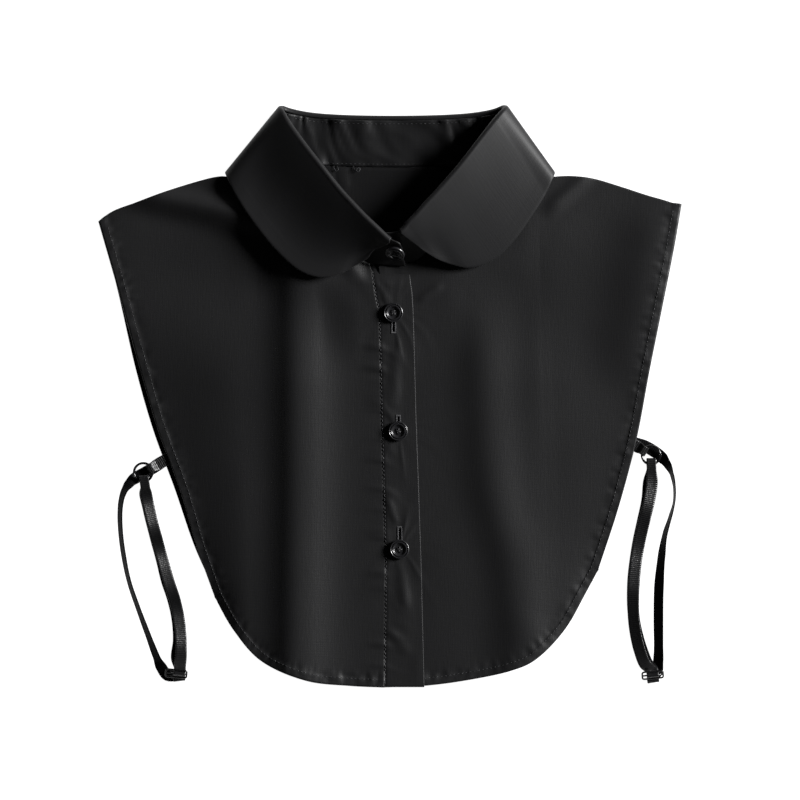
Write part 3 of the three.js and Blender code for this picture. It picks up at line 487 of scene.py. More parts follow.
def outside_leaf(points: Array) -> Array:
    """How far points are outside the leaf's free edge in plan.

    Args:
        points: Points in rows and columns.

    Returns:
        The distances, which are below 0 under the leaf.
    """
    stations = np.linspace(0.0, 1.0, 400)
    seam, edge = SHAPE.seam.at(SHAPE.on_stand(stations * LAST_STATION)), SHAPE.edge.at(stations)
    width = np.linalg.norm((edge - seam)[:, :2], axis=1)
    away, place = distance_to(seam, points)
    return away - np.interp(place, lengths_along(seam[:, :2]), width)


def over_leaf(x: Array, y: Array) -> Array:
    """The share by which the back panel is raised, where the folded-under leaf lies below it."""
    edge = UNDER_LEAF_Y + UNDER_LEAF_BOW * (x / UNDER_LEAF_HALF) ** 2
    return smooth(*UNDER_LEAF_LEAD, y - edge) * smooth(*UNDER_LEAF_ENDS, np.abs(x))


def graded(count: int, near: float, near_count: int, both: bool = False) -> Array:
    """Shares from 0 to 1 that lie closer together near 0, and near 1 too if both is set.

    Args:
        count: Steps over the open part.
        near: Share that is stepped finely at an end.
        near_count: Steps in that share.
        both: Whether the far end is fine too.

    Returns:
        The rising shares.
    """
    start = np.linspace(0.0, near, near_count, endpoint=False)
    if not both:
        return np.concatenate([start, np.linspace(near, 1.0, count + 1)])
    middle = np.linspace(near, 1.0 - near, count, endpoint=False)
    return np.concatenate([start, middle, 1.0 - start[::-1] - near / near_count, [1.0]])


def plan_patch(u: Array, v: Array, foot: Array, top: Array, left: Array, right: Array) -> Array:
    """Blends four sides of a panel inward.

    Args:
        u: Shares from the left side to the right one.
        v: Shares from the foot to the top.
        foot: Points of the foot at each u.
        top: Points of the top at each u.
        left: Points of the left side at each v.
        right: Points of the right side at each v.

    Returns:
        Points in rows of v and columns of u.
    """
    a, b = u[None, :, None], v[:, None, None]
    corners = (1 - a) * (1 - b) * foot[0] + a * (1 - b) * foot[-1] + (1 - a) * b * top[0] + a * b * top[-1]
    return (1 - b) * foot + b * top + (1 - a) * left[:, None] + a * right[:, None] - corners


def distance_to(line: Array, points: Array) -> tuple[Array, Array]:
    """How far points are from a line in plan, and how far along it the nearest place is.

    Args:
        line: Dense points of the line, in order.
        points: Points in rows and columns.

    Returns:
        Distance and place along the line, in the shape of the rows and columns.
    """
    flat = points[..., :2].reshape(-1, 2)
    along = lengths_along(line[:, :2])
    near = np.empty(len(flat))
    place = np.empty(len(flat))
    chunk = 2000
    for first in range(0, len(flat), chunk):
        part = flat[first:first + chunk]
        gaps = np.linalg.norm(part[:, None] - line[None, :, :2], axis=2)
        best = gaps.argmin(axis=1)
        near[first:first + chunk] = gaps[np.arange(len(part)), best]
        place[first:first + chunk] = along[best]
    shape = points.shape[:2]
    return near.reshape(shape), place.reshape(shape)


@dataclass(frozen=True)
class Crease:
    """A soft ridge in the cloth from one plan point to another.

    Its right side, seen from its start to its end, may be wider or steeper than its left one.
    """

    start: Point
    end: Point
    width: float
    height: float
    right_width: float = 0.0

    def relief(self, points: Array) -> Array:
        """The ridge's height.

        Args:
            points: Points of the cloth.

        Returns:
            The height at each.
        """
        start, end = np.array(self.start), np.array(self.end)
        run = end - start
        length = float(np.linalg.norm(run))
        offset = points[..., :2] - start
        along = (offset @ run) / length**2
        aside = (offset @ np.array([-run[1], run[0]])) / length
        aside = np.where(aside < 0, aside / (self.right_width or self.width), aside / self.width)
        ends = smooth(-0.12, 0.25, along) * smooth(1.12, 0.75, along)
        return self.height * ends * (1.0 - 0.6 * aside**2) * np.exp(-(aside**2))


def pulls(points: Array, height: float, reach: float) -> Array:
    """Small folds that run out from the buttons, mostly up and down, where the cloth is drawn to them.

    Args:
        points: Points of the cloth.
        height: The tallest fold.
        reach: How far the folds run.

    Returns:
        The height to add.
    """
    total = np.zeros(points.shape[:-1])
    for place in BUTTON_PLACES:
        x, y = points[..., 0] - place.x, points[..., 1] - place.y
        far = np.hypot(x, y * 0.62)
        turn = np.arctan2(y, x)
        across, up = 2.7 * np.cos(turn) + 9.0, 2.7 * np.sin(turn) + far / 20.0
        sharp = 1.0 - 2.4 * np.abs(soft_noise(PULL_SEED + place.number, across, up))
        fade = smooth(2.0, 7.0, far) * np.exp(-((far / reach) ** 2))
        upright = 0.35 + 0.65 * np.abs(y) / (far + 3.0)
        total += height * sharp * fade * upright
    return total


def relief_of(creases: Sequence[Crease], points: Array) -> Array:
    """The summed height of creases at each point."""
    return sum((crease.relief(points) for crease in creases), np.zeros(points.shape[:-1]))


# Materials


def linear(tone: str) -> tuple[float, float, float, float]:
    """Turns an sRGB hex colour such as 1a1a1b into the linear colour that shaders take."""
    values = [int(tone[i:i + 2], 16) / 255 for i in (0, 2, 4)]
    return (*[v / 12.92 if v <= 0.04045 else ((v + 0.055) / 1.055) ** 2.4 for v in values], 1.0)


def add_node(
    tree: bpy.types.NodeTree,
    kind: str,
    values: dict[str, object] | None = None,
    links: dict[str, bpy.types.NodeSocket] | None = None,
    **settings: object,
) -> bpy.types.Node:
    """Adds a shader node.

    Args:
        tree: The material's node tree.
        kind: The node's type, without the words ShaderNode before it.
        values: Constants for its inputs, by name or place.
        links: Sockets that feed its inputs, by name or place.
        settings: The node's own properties.

    Returns:
        The node.
    """
    node = tree.nodes.new(f"ShaderNode{kind}")
    for name, value in settings.items():
        setattr(node, name, value)
    for name, value in (values or {}).items():
        node.inputs[name].default_value = value
    for name, socket in (links or {}).items():
        tree.links.new(socket, node.inputs[name])
    return node


class Finish(ABC):
    """A surface finish, made once as a material and shared by its pieces."""

    name: str
    made: dict[str, bpy.types.Material] = {}

    def material(self) -> bpy.types.Material:
        """Makes the finish's material at its first use.

        Returns:
            The material.
        """
        if self.name not in Finish.made:
            material = bpy.data.materials.new(self.name)
            material.use_nodes = True
            tree = material.node_tree
            tree.nodes.clear()
            output = add_node(tree, "OutputMaterial")
            tree.links.new(self.shade(tree).outputs[0], output.inputs["Surface"])
            Finish.made[self.name] = material
        return Finish.made[self.name]

    @abstractmethod
    def shade(self, tree: bpy.types.NodeTree) -> bpy.types.Node:
        """Builds the finish's nodes.

        Args:
            tree: The material's empty node tree.

        Returns:
            The shader.
        """


@dataclass(frozen=True)
class Poplin(Finish):
    """Cotton poplin, piece-dyed black and pressed: a plain weave of fine warp over a rounder weft.

    It gives the eye a near-black ground with a broad soft gloss that lights up where the cloth turns to the
    light. Pitches are in millimetres. The real threads are 0.25 mm apart, too fine to show, so they are
    drawn coarser.
    """

    name: str = "black_poplin"
    tone: str = "101011"
    mottle_tone: str = "151516"
    roughness: float = 0.5
    specular: float = 0.27
    sheen: float = 0.02
    warp_pitch: float = 1.3
    weft_pitch: float = 1.5
    weave: float = 0.02
    slub: float = 0.18

    def shade(self, tree: bpy.types.NodeTree) -> bpy.types.Node:
        """Builds the weave, slubs and gloss."""
        place = add_node(tree, "UVMap", uv_map="cloth").outputs[0]
        waves = []
        for bands, pitch in (("X", self.warp_pitch), ("Y", self.weft_pitch)):
            wave = add_node(
                tree, "TexWave",
                {"Scale": CLOTH_UNIT / pitch / WAVE_BANDS, "Distortion": 1.2, "Detail": 1.0,
                 "Detail Scale": 1.5},
                {"Vector": place}, wave_type="BANDS", bands_direction=bands,
            )
            waves.append(wave.outputs["Fac"])
        threads = add_node(tree, "Math", links={0: waves[0], 1: waves[1]}, operation="ADD")
        slubs = []
        for stretch in ((6.0, 0.8, 1.0), (0.8, 6.0, 1.0)):
            turned = add_node(tree, "Mapping", {"Scale": stretch}, {"Vector": place})
            slub = add_node(
                tree, "TexNoise", {"Scale": 14.0, "Detail": 3.0, "Roughness": 0.6},
                {"Vector": turned.outputs[0]},
            )
            slubs.append(slub.outputs["Fac"])
        yarn = add_node(tree, "Math", links={0: slubs[0], 1: slubs[1]}, operation="ADD")
        fine = add_node(
            tree, "Bump", {"Strength": self.weave, "Distance": 0.0002},
            {"Height": threads.outputs[0]},
        )
        coarse = add_node(
            tree, "Bump", {"Strength": self.slub, "Distance": 0.0004},
            {"Height": yarn.outputs[0], "Normal": fine.outputs[0]},
        )
        cloud = add_node(
            tree, "TexNoise", {"Scale": 3.0, "Detail": 4.0, "Roughness": 0.55}, {"Vector": place}
        )
        colour = add_node(
            tree, "Mix", {6: linear(self.tone), 7: linear(self.mottle_tone)},
            {0: cloud.outputs["Fac"]}, data_type="RGBA",
        )
        return add_node(
            tree, "BsdfPrincipled",
            {"Roughness": self.roughness, "Specular IOR Level": self.specular, "Sheen Weight": self.sheen,
             "Sheen Roughness": 0.5},
            {"Base Color": colour.outputs[2], "Normal": coarse.outputs[0]},
        )


@dataclass(frozen=True)
class SpunThread(Finish):
    """Spun polyester sewing thread: two twisted plies, which give the eye a dull broken shine."""

    name: str = "black_thread"
    tone: str = "29292b"

    def shade(self, tree: bpy.types.NodeTree) -> bpy.types.Node:
        """Builds the twist and the dull shine."""
        place = add_node(tree, "TexCoord").outputs["Object"]
        twist = add_node(
            tree, "TexWave", {"Scale": 1100.0, "Distortion": 0.6}, {"Vector": place},
            wave_type="BANDS", bands_direction="DIAGONAL",
        )
        bump = add_node(tree, "Bump", {"Strength": 0.4, "Distance": 0.0001}, {"Height": twist.outputs["Fac"]})
        return add_node(
            tree, "BsdfPrincipled",
            {"Base Color": linear(self.tone), "Roughness": 0.5, "Specular IOR Level": 0.4},
            {"Normal": bump.outputs[0]},
        )


@dataclass(frozen=True)
class WovenElastic(Finish):
    """Woven narrow elastic: cross ribs over a rubber core, satin filament on its face and a matt back.

    It gives the eye a band that is black on one side and flashes on the other. Ribs are drawn coarser than
    the real ones, which are about 0.6 mm apart.
    """

    name: str = "black_elastic"
    tone: str = "121213"
    satin: float = 0.48
    matt: float = 0.01
    rib_pitch: float = 1.25

    def shade(self, tree: bpy.types.NodeTree) -> bpy.types.Node:
        """Builds the cross ribs and the filament's sheen."""
        place = add_node(tree, "UVMap", uv_map="cloth").outputs[0]
        ribs = add_node(
            tree, "TexWave",
            {"Scale": CLOTH_UNIT / self.rib_pitch / WAVE_BANDS, "Distortion": 1.5, "Detail": 2.0,
             "Detail Scale": 2.0},
            {"Vector": place}, wave_type="BANDS", bands_direction="X",
        )
        # In the band's map the back lies near 0 and the face FACE_OFFSET further on, near 1
        side = add_node(tree, "SeparateXYZ", links={0: place}).outputs["Y"]
        gloss = add_node(
            tree, "MapRange",
            {"From Min": 0.4, "From Max": 0.6, "To Min": self.matt, "To Max": self.satin}, {"Value": side},
        )
        grain = add_node(tree, "TexNoise", {"Scale": 60.0, "Detail": 3.0}, {"Vector": place})
        height = add_node(
            tree, "Math", links={0: ribs.outputs["Fac"], 1: grain.outputs["Fac"]}, operation="ADD"
        )
        bump = add_node(tree, "Bump", {"Strength": 0.5, "Distance": 0.0003}, {"Height": height.outputs[0]})
        return add_node(
            tree, "BsdfPrincipled",
            {"Base Color": linear(self.tone), "Roughness": 0.36},
            {"Normal": bump.outputs[0], "Specular IOR Level": gloss.outputs[0]},
        )


@dataclass(frozen=True)
class PolyesterResin(Finish):
    """Cast polyester resin, turned and tumbled as shirt buttons are: black with small hard highlights."""

    name: str = "black_button"
    tone: str = "18181a"

    def shade(self, tree: bpy.types.NodeTree) -> bpy.types.Node:
        """Builds the gloss with faint turning marks."""
        place = add_node(tree, "TexCoord").outputs["Object"]
        marks = add_node(tree, "TexNoise", {"Scale": 900.0, "Detail": 2.0}, {"Vector": place})
        bump = add_node(
            tree, "Bump", {"Strength": 0.06, "Distance": 0.0001}, {"Height": marks.outputs["Fac"]}
        )
        return add_node(
            tree, "BsdfPrincipled",
            {"Base Color": linear(self.tone), "Roughness": 0.3, "IOR": 1.55, "Coat Weight": 0.4,
             "Coat Roughness": 0.12},
            {"Normal": bump.outputs[0]},
        )


@dataclass(frozen=True)
class CoatedWire(Finish):
    """Steel wire with a black lacquer coat: a hard clear gloss with slight orange peel."""

    name: str = "black_wire"
    tone: str = "0c0c0d"

    def shade(self, tree: bpy.types.NodeTree) -> bpy.types.Node:
        """Builds the lacquer's gloss and peel."""
        place = add_node(tree, "TexCoord").outputs["Object"]
        peel = add_node(tree, "TexNoise", {"Scale": 1400.0, "Detail": 2.0}, {"Vector": place})
        bump = add_node(tree, "Bump", {"Strength": 0.12, "Distance": 0.0001}, {"Height": peel.outputs["Fac"]})
        return add_node(
            tree, "BsdfPrincipled",
            {"Base Color": linear(self.tone), "Roughness": 0.17, "Specular IOR Level": 0.5},
            {"Normal": bump.outputs[0]},
        )


@dataclass(frozen=True)
class LitAcrylic(Finish):
    """Opal acrylic sheet with a matt face, lit from below as a shadow-free table is."""

    name: str = "opal_acrylic"
    tone: str = "8c8c8c"
    glow: float = 1.0

    def shade(self, tree: bpy.types.NodeTree) -> bpy.types.Node:
        """Builds a plain matt white with an even glow."""
        return add_node(
            tree, "BsdfPrincipled",
            {"Base Color": linear(self.tone), "Roughness": 0.9, "Specular IOR Level": 0.1,
             "Emission Color": linear("ffffff"), "Emission Strength": self.glow},
        )


BIB_POPLIN = Poplin()
# The back panel's copy of the poplin is darker than the bib's: painted shade for the dim inside of the neck
# under the collar
SHADED_INSIDE_POPLIN = Poplin(name="black_poplin_inside_painted_shade", tone="0c0c0d", mottle_tone="101011", specular=0.16)
# The leaf's copy is a little lighter than the bib's: painted light that brightens the wing turned to the
# light; its finer slubs are the fused cloth's own
LIT_FUSED_POPLIN = Poplin(name="black_fused_poplin_painted_light", tone="131314", mottle_tone="161617", slub=0.1, specular=0.19)
BAND_POPLIN = Poplin(name="black_band_poplin", tone="0f0f10", mottle_tone="131314", slub=0.14, specular=0.2)
THREAD = SpunThread()
ELASTIC = WovenElastic()
RESIN = PolyesterResin()
WIRE = CoatedWire()


# Meshes


def object_from(name: str, verts: Array, faces: Sequence[Sequence[int]], uv: Array | None = None) -> Piece:
    """Makes an object from points in millimetres, with its faces turned outwards.

    Args:
        name: The object's name.
        verts: Points, one a row.
        faces: Rings of point numbers.
        uv: A cloth place in millimetres for each point, or None.

    Returns:
        The object, smooth shaded, in the scene.
    """
    mesh = bpy.data.meshes.new(name)
    mesh.from_pydata((verts * MM).tolist(), [], [tuple(map(int, face)) for face in faces])
    mesh.update()
    work = bmesh.new()
    work.from_mesh(mesh)
    if work.calc_volume(signed=True) < 0:
        bmesh.ops.reverse_faces(work, faces=work.faces)
    work.to_mesh(mesh)
    work.free()
    if uv is not None:
        layer = mesh.uv_layers.new(name="cloth")
        corner = np.empty(len(mesh.loops), int)
        mesh.loops.foreach_get("vertex_index", corner)
        layer.data.foreach_set("uv", (uv[corner] / CLOTH_UNIT).ravel())
    mesh.polygons.foreach_set("use_smooth", [True] * len(mesh.polygons))
    made = bpy.data.objects.new(name, mesh)
    bpy.context.scene.collection.objects.link(made)
    return made


def grid_normals(middle: Array) -> Array:
    """Normals of a grid of points.

    Args:
        middle: Points in rows and columns.

    Returns:
        The normal at each.
    """
    along = np.gradient(middle, axis=1)
    across = np.gradient(middle, axis=0)
    return unit(np.cross(along, across))


def sheet_object(name: str, middle: Array, thickness: Array, uv: Array) -> Piece:
    """Makes a closed sheet of cloth with a rounded edge from a grid of points of its middle surface.

    Args:
        name: The object's name.
        middle: Points in rows and columns.
        thickness: The cloth's thickness at each point.
        uv: The place on the flat cloth of each point.

    Returns:
        The sheet.
    """
    rows, columns = middle.shape[:2]
    half = grid_normals(middle) * thickness[..., None] / 2
    number = np.arange(rows * columns).reshape(rows, columns)
    ring = np.concatenate([number[0, :-1], number[:-1, -1], number[-1, :0:-1], number[:0:-1, 0]])
    inner = np.clip(np.stack([ring // columns, ring % columns]), 1, [[rows - 2], [columns - 2]])
    flat, flat_uv = middle.reshape(-1, 3), uv.reshape(-1, 2)
    out = unit(flat[ring] - middle[inner[0], inner[1]])
    rim = flat[ring] + out * thickness.ravel()[ring][:, None] * 0.32
    verts = np.concatenate([(middle + half).reshape(-1, 3), (middle - half).reshape(-1, 3), rim])
    a, b = number[:-1, :-1].ravel(), number[:-1, 1:].ravel()
    c, d = number[1:, 1:].ravel(), number[1:, :-1].ravel()
    below = rows * columns
    around = 2 * below + np.arange(len(ring))
    after, ring_after = np.roll(around, -1), np.roll(ring, -1)
    faces = np.concatenate([
        np.stack([a, b, c, d], axis=1),
        np.stack([d, c, b, a], axis=1) + below,
        np.stack([ring_after, ring, around, after], axis=1),
        np.stack([after, around, ring + below, ring_after + below], axis=1),
    ])
    return object_from(name, verts, faces.tolist(), np.concatenate([flat_uv, flat_uv, flat_uv[ring]]))


def swept_object(name: str, centres: Array, widths: Array, heights: Array, section: Array) -> Piece:
    """Sweeps a closed section along a line.

    Args:
        name: The object's name.
        centres: Points of the line.
        widths: At each point, the direction and size of the section's first axis.
        heights: At each point, the direction and size of its second axis.
        section: The section's outline as shares of the two axes.

    Returns:
        The closed solid, with its length and the section's first axis as cloth places; those of its second
        axis's negative side are FACE_OFFSET further on, so that a band's two faces can differ.
    """
    count, sides = len(centres), len(section)
    verts = centres[:, None] + section[None, :, :1] * widths[:, None]
    verts = verts + section[None, :, 1:] * heights[:, None]
    wide = np.linalg.norm(widths, axis=1)
    aside = section[None, :, 0] * wide[:, None] + np.where(section[:, 1] < 0, FACE_OFFSET, 0.0)[None, :]
    uv = np.stack([np.repeat(lengths_along(centres), sides), aside.ravel()], axis=1)
    number = np.arange(count * sides).reshape(count, sides)
    turned = np.roll(number, -1, axis=1)
    sheets = np.stack([number[:-1], turned[:-1], turned[1:], number[1:]], axis=-1).reshape(-1, 4)
    faces = [*sheets.tolist(), number[0][::-1].tolist(), number[-1].tolist()]
    return object_from(name, verts.reshape(-1, 3), faces, uv)


def band_section() -> Array:
    """The outline of a flat band with rounded edges and a slightly raised selvedge.

    Returns:
        Shares of the band's width and thickness.
    """
    across = np.linspace(-0.46, 0.46, 9)
    height = 0.42 + 0.08 * smooth(0.2, 0.42, np.abs(across))
    top = np.stack([across, height], axis=1)
    low = np.stack([across[::-1], -height[::-1]], axis=1)
    return np.concatenate([top, [[0.5, 0.22], [0.5, -0.22]], low, [[-0.5, -0.22], [-0.5, 0.22]]])


def round_section(sides: int) -> Array:
    """The outline of a round thread or wire of diameter 1."""
    turn = np.arange(sides) * 2 * np.pi / sides
    return 0.5 * np.stack([np.cos(turn), np.sin(turn)], axis=1)


def cut(piece: Piece, tool: Piece) -> None:
    """Cuts a shape out of a piece.

    Args:
        piece: The piece to cut.
        tool: The shape, which is taken away afterwards.
    """
    cutter = piece.modifiers.new("cut", "BOOLEAN")
    cutter.object = tool
    cutter.operation = "DIFFERENCE"
    cutter.solver = "EXACT"
    bpy.context.view_layer.objects.active = piece
    bpy.ops.object.modifier_apply(modifier=cutter.name)
    bpy.data.objects.remove(tool)


def joined(parts: Sequence[Piece], name: str, place: Matrix) -> Piece:
    """Joins parts into one object.

    Args:
        parts: The parts, made at the origin.
        name: The object's name.
        place: Where its mesh is moved to, in metres.

    Returns:
        The object.
    """
    bpy.ops.object.select_all(action="DESELECT")
    for part in parts:
        part.select_set(True)
    bpy.context.view_layer.objects.active = parts[0]
    bpy.ops.object.join()
    piece = bpy.context.object
    piece.name = name
    piece.data.transform(place)
    return piece


def dress(piece: Piece, finish: Finish, slot: str, *nodes: str) -> Piece:
    """Gives a finished piece its material, fixes it to the body and hides the imported parts that it stands
    for.

    Args:
        piece: The piece.
        finish: Its surface finish.
        slot: The slot that its material fills; not used.
        nodes: The nodes that it stands for.

    Returns:
        The piece.
    """
    piece.data.materials.clear()
    piece.data.materials.append(finish.material())
    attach(piece, BODY)
    if nodes:
        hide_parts(*nodes)
    LOG.info("%s: %d faces", piece.name, len(piece.data.polygons))
    return piece


class Cloth:
    """The upper surface of a finished piece, for laying sewing on it."""

    def __init__(self, piece: Piece) -> None:
        """Collects the piece's faces.

        Args:
            piece: The piece, with its place in its mesh.
        """
        verts = [vert.co.copy() for vert in piece.data.vertices]
        faces = [list(face.vertices) for face in piece.data.polygons]
        self.tree = BVHTree.FromPolygons(verts, faces)

    def drop(self, places: Array) -> tuple[Array, Array]:
        """Finds the cloth under plan places.

        Args:
            places: Plan points in millimetres, one a row.

        Returns:
            The points on the cloth and its normals there. A place off the cloth takes the last found height.
        """
        above, down = 60.0, Vector((0.0, 0.0, -1.0))
        points, normals = [], []
        last = (above, -down)
        for x, y in places:
            hit, normal, _, _ = self.tree.ray_cast(Vector((x, y, above)) * MM, down)
            last = last if hit is None else (hit.z / MM, normal)
            points.append((x, y, last[0]))
            normals.append(last[1])
        return np.array(points), np.array(normals)


def stitches_on(
    name: str, middles: Array, along: Array, normals: Array, length: float, width: float,
) -> Piece:
    """Joins stitches that each lie on the cloth and dip into it at both ends.

    Args:
        name: The object's name.
        middles: The cloth point under each stitch.
        along: The direction of each stitch.
        normals: The cloth's normal at each stitch.
        length: A stitch's length.
        width: The thread's thickness.

    Returns:
        One object with all the stitches.
    """
    shares, rise, fat = np.array(STITCH_RINGS).T * np.array([[length], [width], [width]])
    section = round_section(STITCH_SIDES)
    normals = unit(normals)
    along = unit(along - normals * (along * normals).sum(axis=1, keepdims=True))
    side = np.cross(normals, along)
    centre = middles[:, None] + along[:, None] * shares[None, :, None]
    centre = centre + normals[:, None] * rise[None, :, None]
    rings = (
        centre[:, :, None]
        + side[:, None, None] * (fat[:, None] * section[None, :, 0])[None, :, :, None]
        + normals[:, None, None] * (fat[:, None] * section[None, :, 1])[None, :, :, None]
    )
    number = np.arange(len(shares) * STITCH_SIDES).reshape(len(shares), STITCH_SIDES)
    turned = np.roll(number, -1, axis=1)
    sides = np.stack([number[:-1], number[1:], turned[1:], turned[:-1]], axis=-1).reshape(-1, 4).tolist()
    template = [*sides, number[0].tolist(), number[-1][::-1].tolist()]
    count = number.size
    faces = [[i + count * k for i in face] for k in range(len(middles)) for face in template]
    return object_from(name, rings.reshape(-1, 3), faces)


def stitch_row(cloth: Cloth, line: Array, pitch: float = STITCH_PITCH) -> StitchRow:
    """Spaces stitches along a plan line.

    Args:
        cloth: The cloth under the line.
        line: Plan points of the line, in order.
        pitch: The distance from one stitch to the next.

    Returns:
        For each stitch the cloth point, the direction and the normal.
    """
    along = lengths_along(line)
    places = np.arange(pitch / 2, along[-1], pitch)
    plan, ahead, behind = (
        np.stack([np.interp(places + shift, along, line[:, axis]) for axis in (0, 1)], axis=1)
        for shift in (0.0, 0.5, -0.5)
    )
    points, normals = cloth.drop(plan)
    run = ahead - behind
    return points, np.concatenate([run, np.zeros((len(run), 1))], axis=1), normals


def sew(
    name: str, rows: Sequence[StitchRow], length: float = STITCH_LENGTH, width: float = THREAD_WIDTH
) -> Piece:
    """Makes one object of several rows of stitches."""
    parts = [np.concatenate(part) for part in zip(*rows)]
    return dress(stitches_on(name, *parts, length, width), THREAD, "sewing_thread")


def inset(line: Array, distance: float) -> Array:
    """Moves a plan line sideways.

    Args:
        line: Points of the line, in order.
        distance: How far it moves to its left; to its right if below 0.

    Returns:
        The moved plan points.
    """
    run = np.gradient(line[:, :2], axis=0)
    left = unit(np.stack([-run[:, 1], run[:, 0]], axis=1))
    return line[:, :2] + left * distance


# Cloth pieces


def shoulder_height(share: Array) -> Array:
    """The height of the shoulder seam, from the tip to the neck."""
    return mix(SHOULDER_TIP_HEIGHT, SHOULDER_NECK_HEIGHT, smooth(0.25, 0.95, share))


def shoulder_route(shoulder: Rows, station: float) -> Route:
    """A shoulder from its tip to the neck edge at a station of the collar."""
    return Route([*shoulder, tuple(SHAPE.neck_edge(np.array([station]))[0][:2])])


def shoulder_and_neck(shoulder: Rows, stations: tuple[float, float], share: float, u: Array) -> Array:
    """A panel's top side: the shoulder from its tip, then the neck between two stations.

    Args:
        shoulder: Points of the shoulder, from its tip.
        stations: Stations of the collar where the neck edge starts and ends.
        share: The share of the side that the shoulder takes.
        u: Shares along the side.

    Returns:
        Plan points.
    """
    route = shoulder_route(shoulder, stations[0])
    neck = SHAPE.neck_edge(mix(*stations, np.clip((u - share) / (1 - share), 0, 1)))
    side = np.where((u <= share)[:, None], route.at_length(np.clip(u / share, 0, 1)), neck)
    side[:, 2] = 0.0
    return side


def hem_thickness(away: Array) -> Array:
    """The bib's thickness at distances from its hemmed edge: three layers in the hem, then one."""
    return mix(BIB_CLOTH, HEM_CLOTH, smooth(HEM_WIDTH + 0.8, HEM_WIDTH - 0.4, away))


def hem_relief(away: Array, place: Array, seed: int) -> Array:
    """The roping of a narrow turned hem.

    Args:
        away: Distances from the hemmed edge.
        place: Lengths along the edge.
        seed: Number that fixes the puckers.

    Returns:
        The height to add.
    """
    pucker = soft_noise(seed, place / 3.6, away / 9.0) + 0.7 * soft_noise(seed + 1, place / 2.0, away / 5.0)
    near = np.exp(-(((away - HEM_WIDTH) / 4.0) ** 2))
    wave = 0.5 * soft_noise(seed + 2, place / 16.0, away / 30.0) * np.exp(-away / 14.0)
    return 0.38 * pucker * near + wave


@dataclass
class LongFold:
    """A long soft fold of a front.

    Inner and outer are its reach towards the placket and the armhole, the crest's rows hold Y and X, and it
    grows to its whole height from one Y to another.
    """

    height: float
    inner: float
    outer: float
    crest: Rows
    starts: float
    full: float

    def relief(self, x: Array, y: Array) -> Array:
        """The fold's height.

        Args:
            x: The X of each place.
            y: The Y of each place.

        Returns:
            The height to add there.
        """
        crest = Route([(row[0], row[1]) for row in self.crest]).at(np.linspace(0.0, 1.0, 80))
        outward = (x - np.interp(y, crest[::-1, 0], crest[::-1, 1])) * np.sign(self.crest[0][1])
        reach = mix(self.inner, self.outer, smooth(-12.0, 12.0, outward))
        return self.height * np.exp(-((outward / reach) ** 2)) * smooth(self.starts, self.full, y)


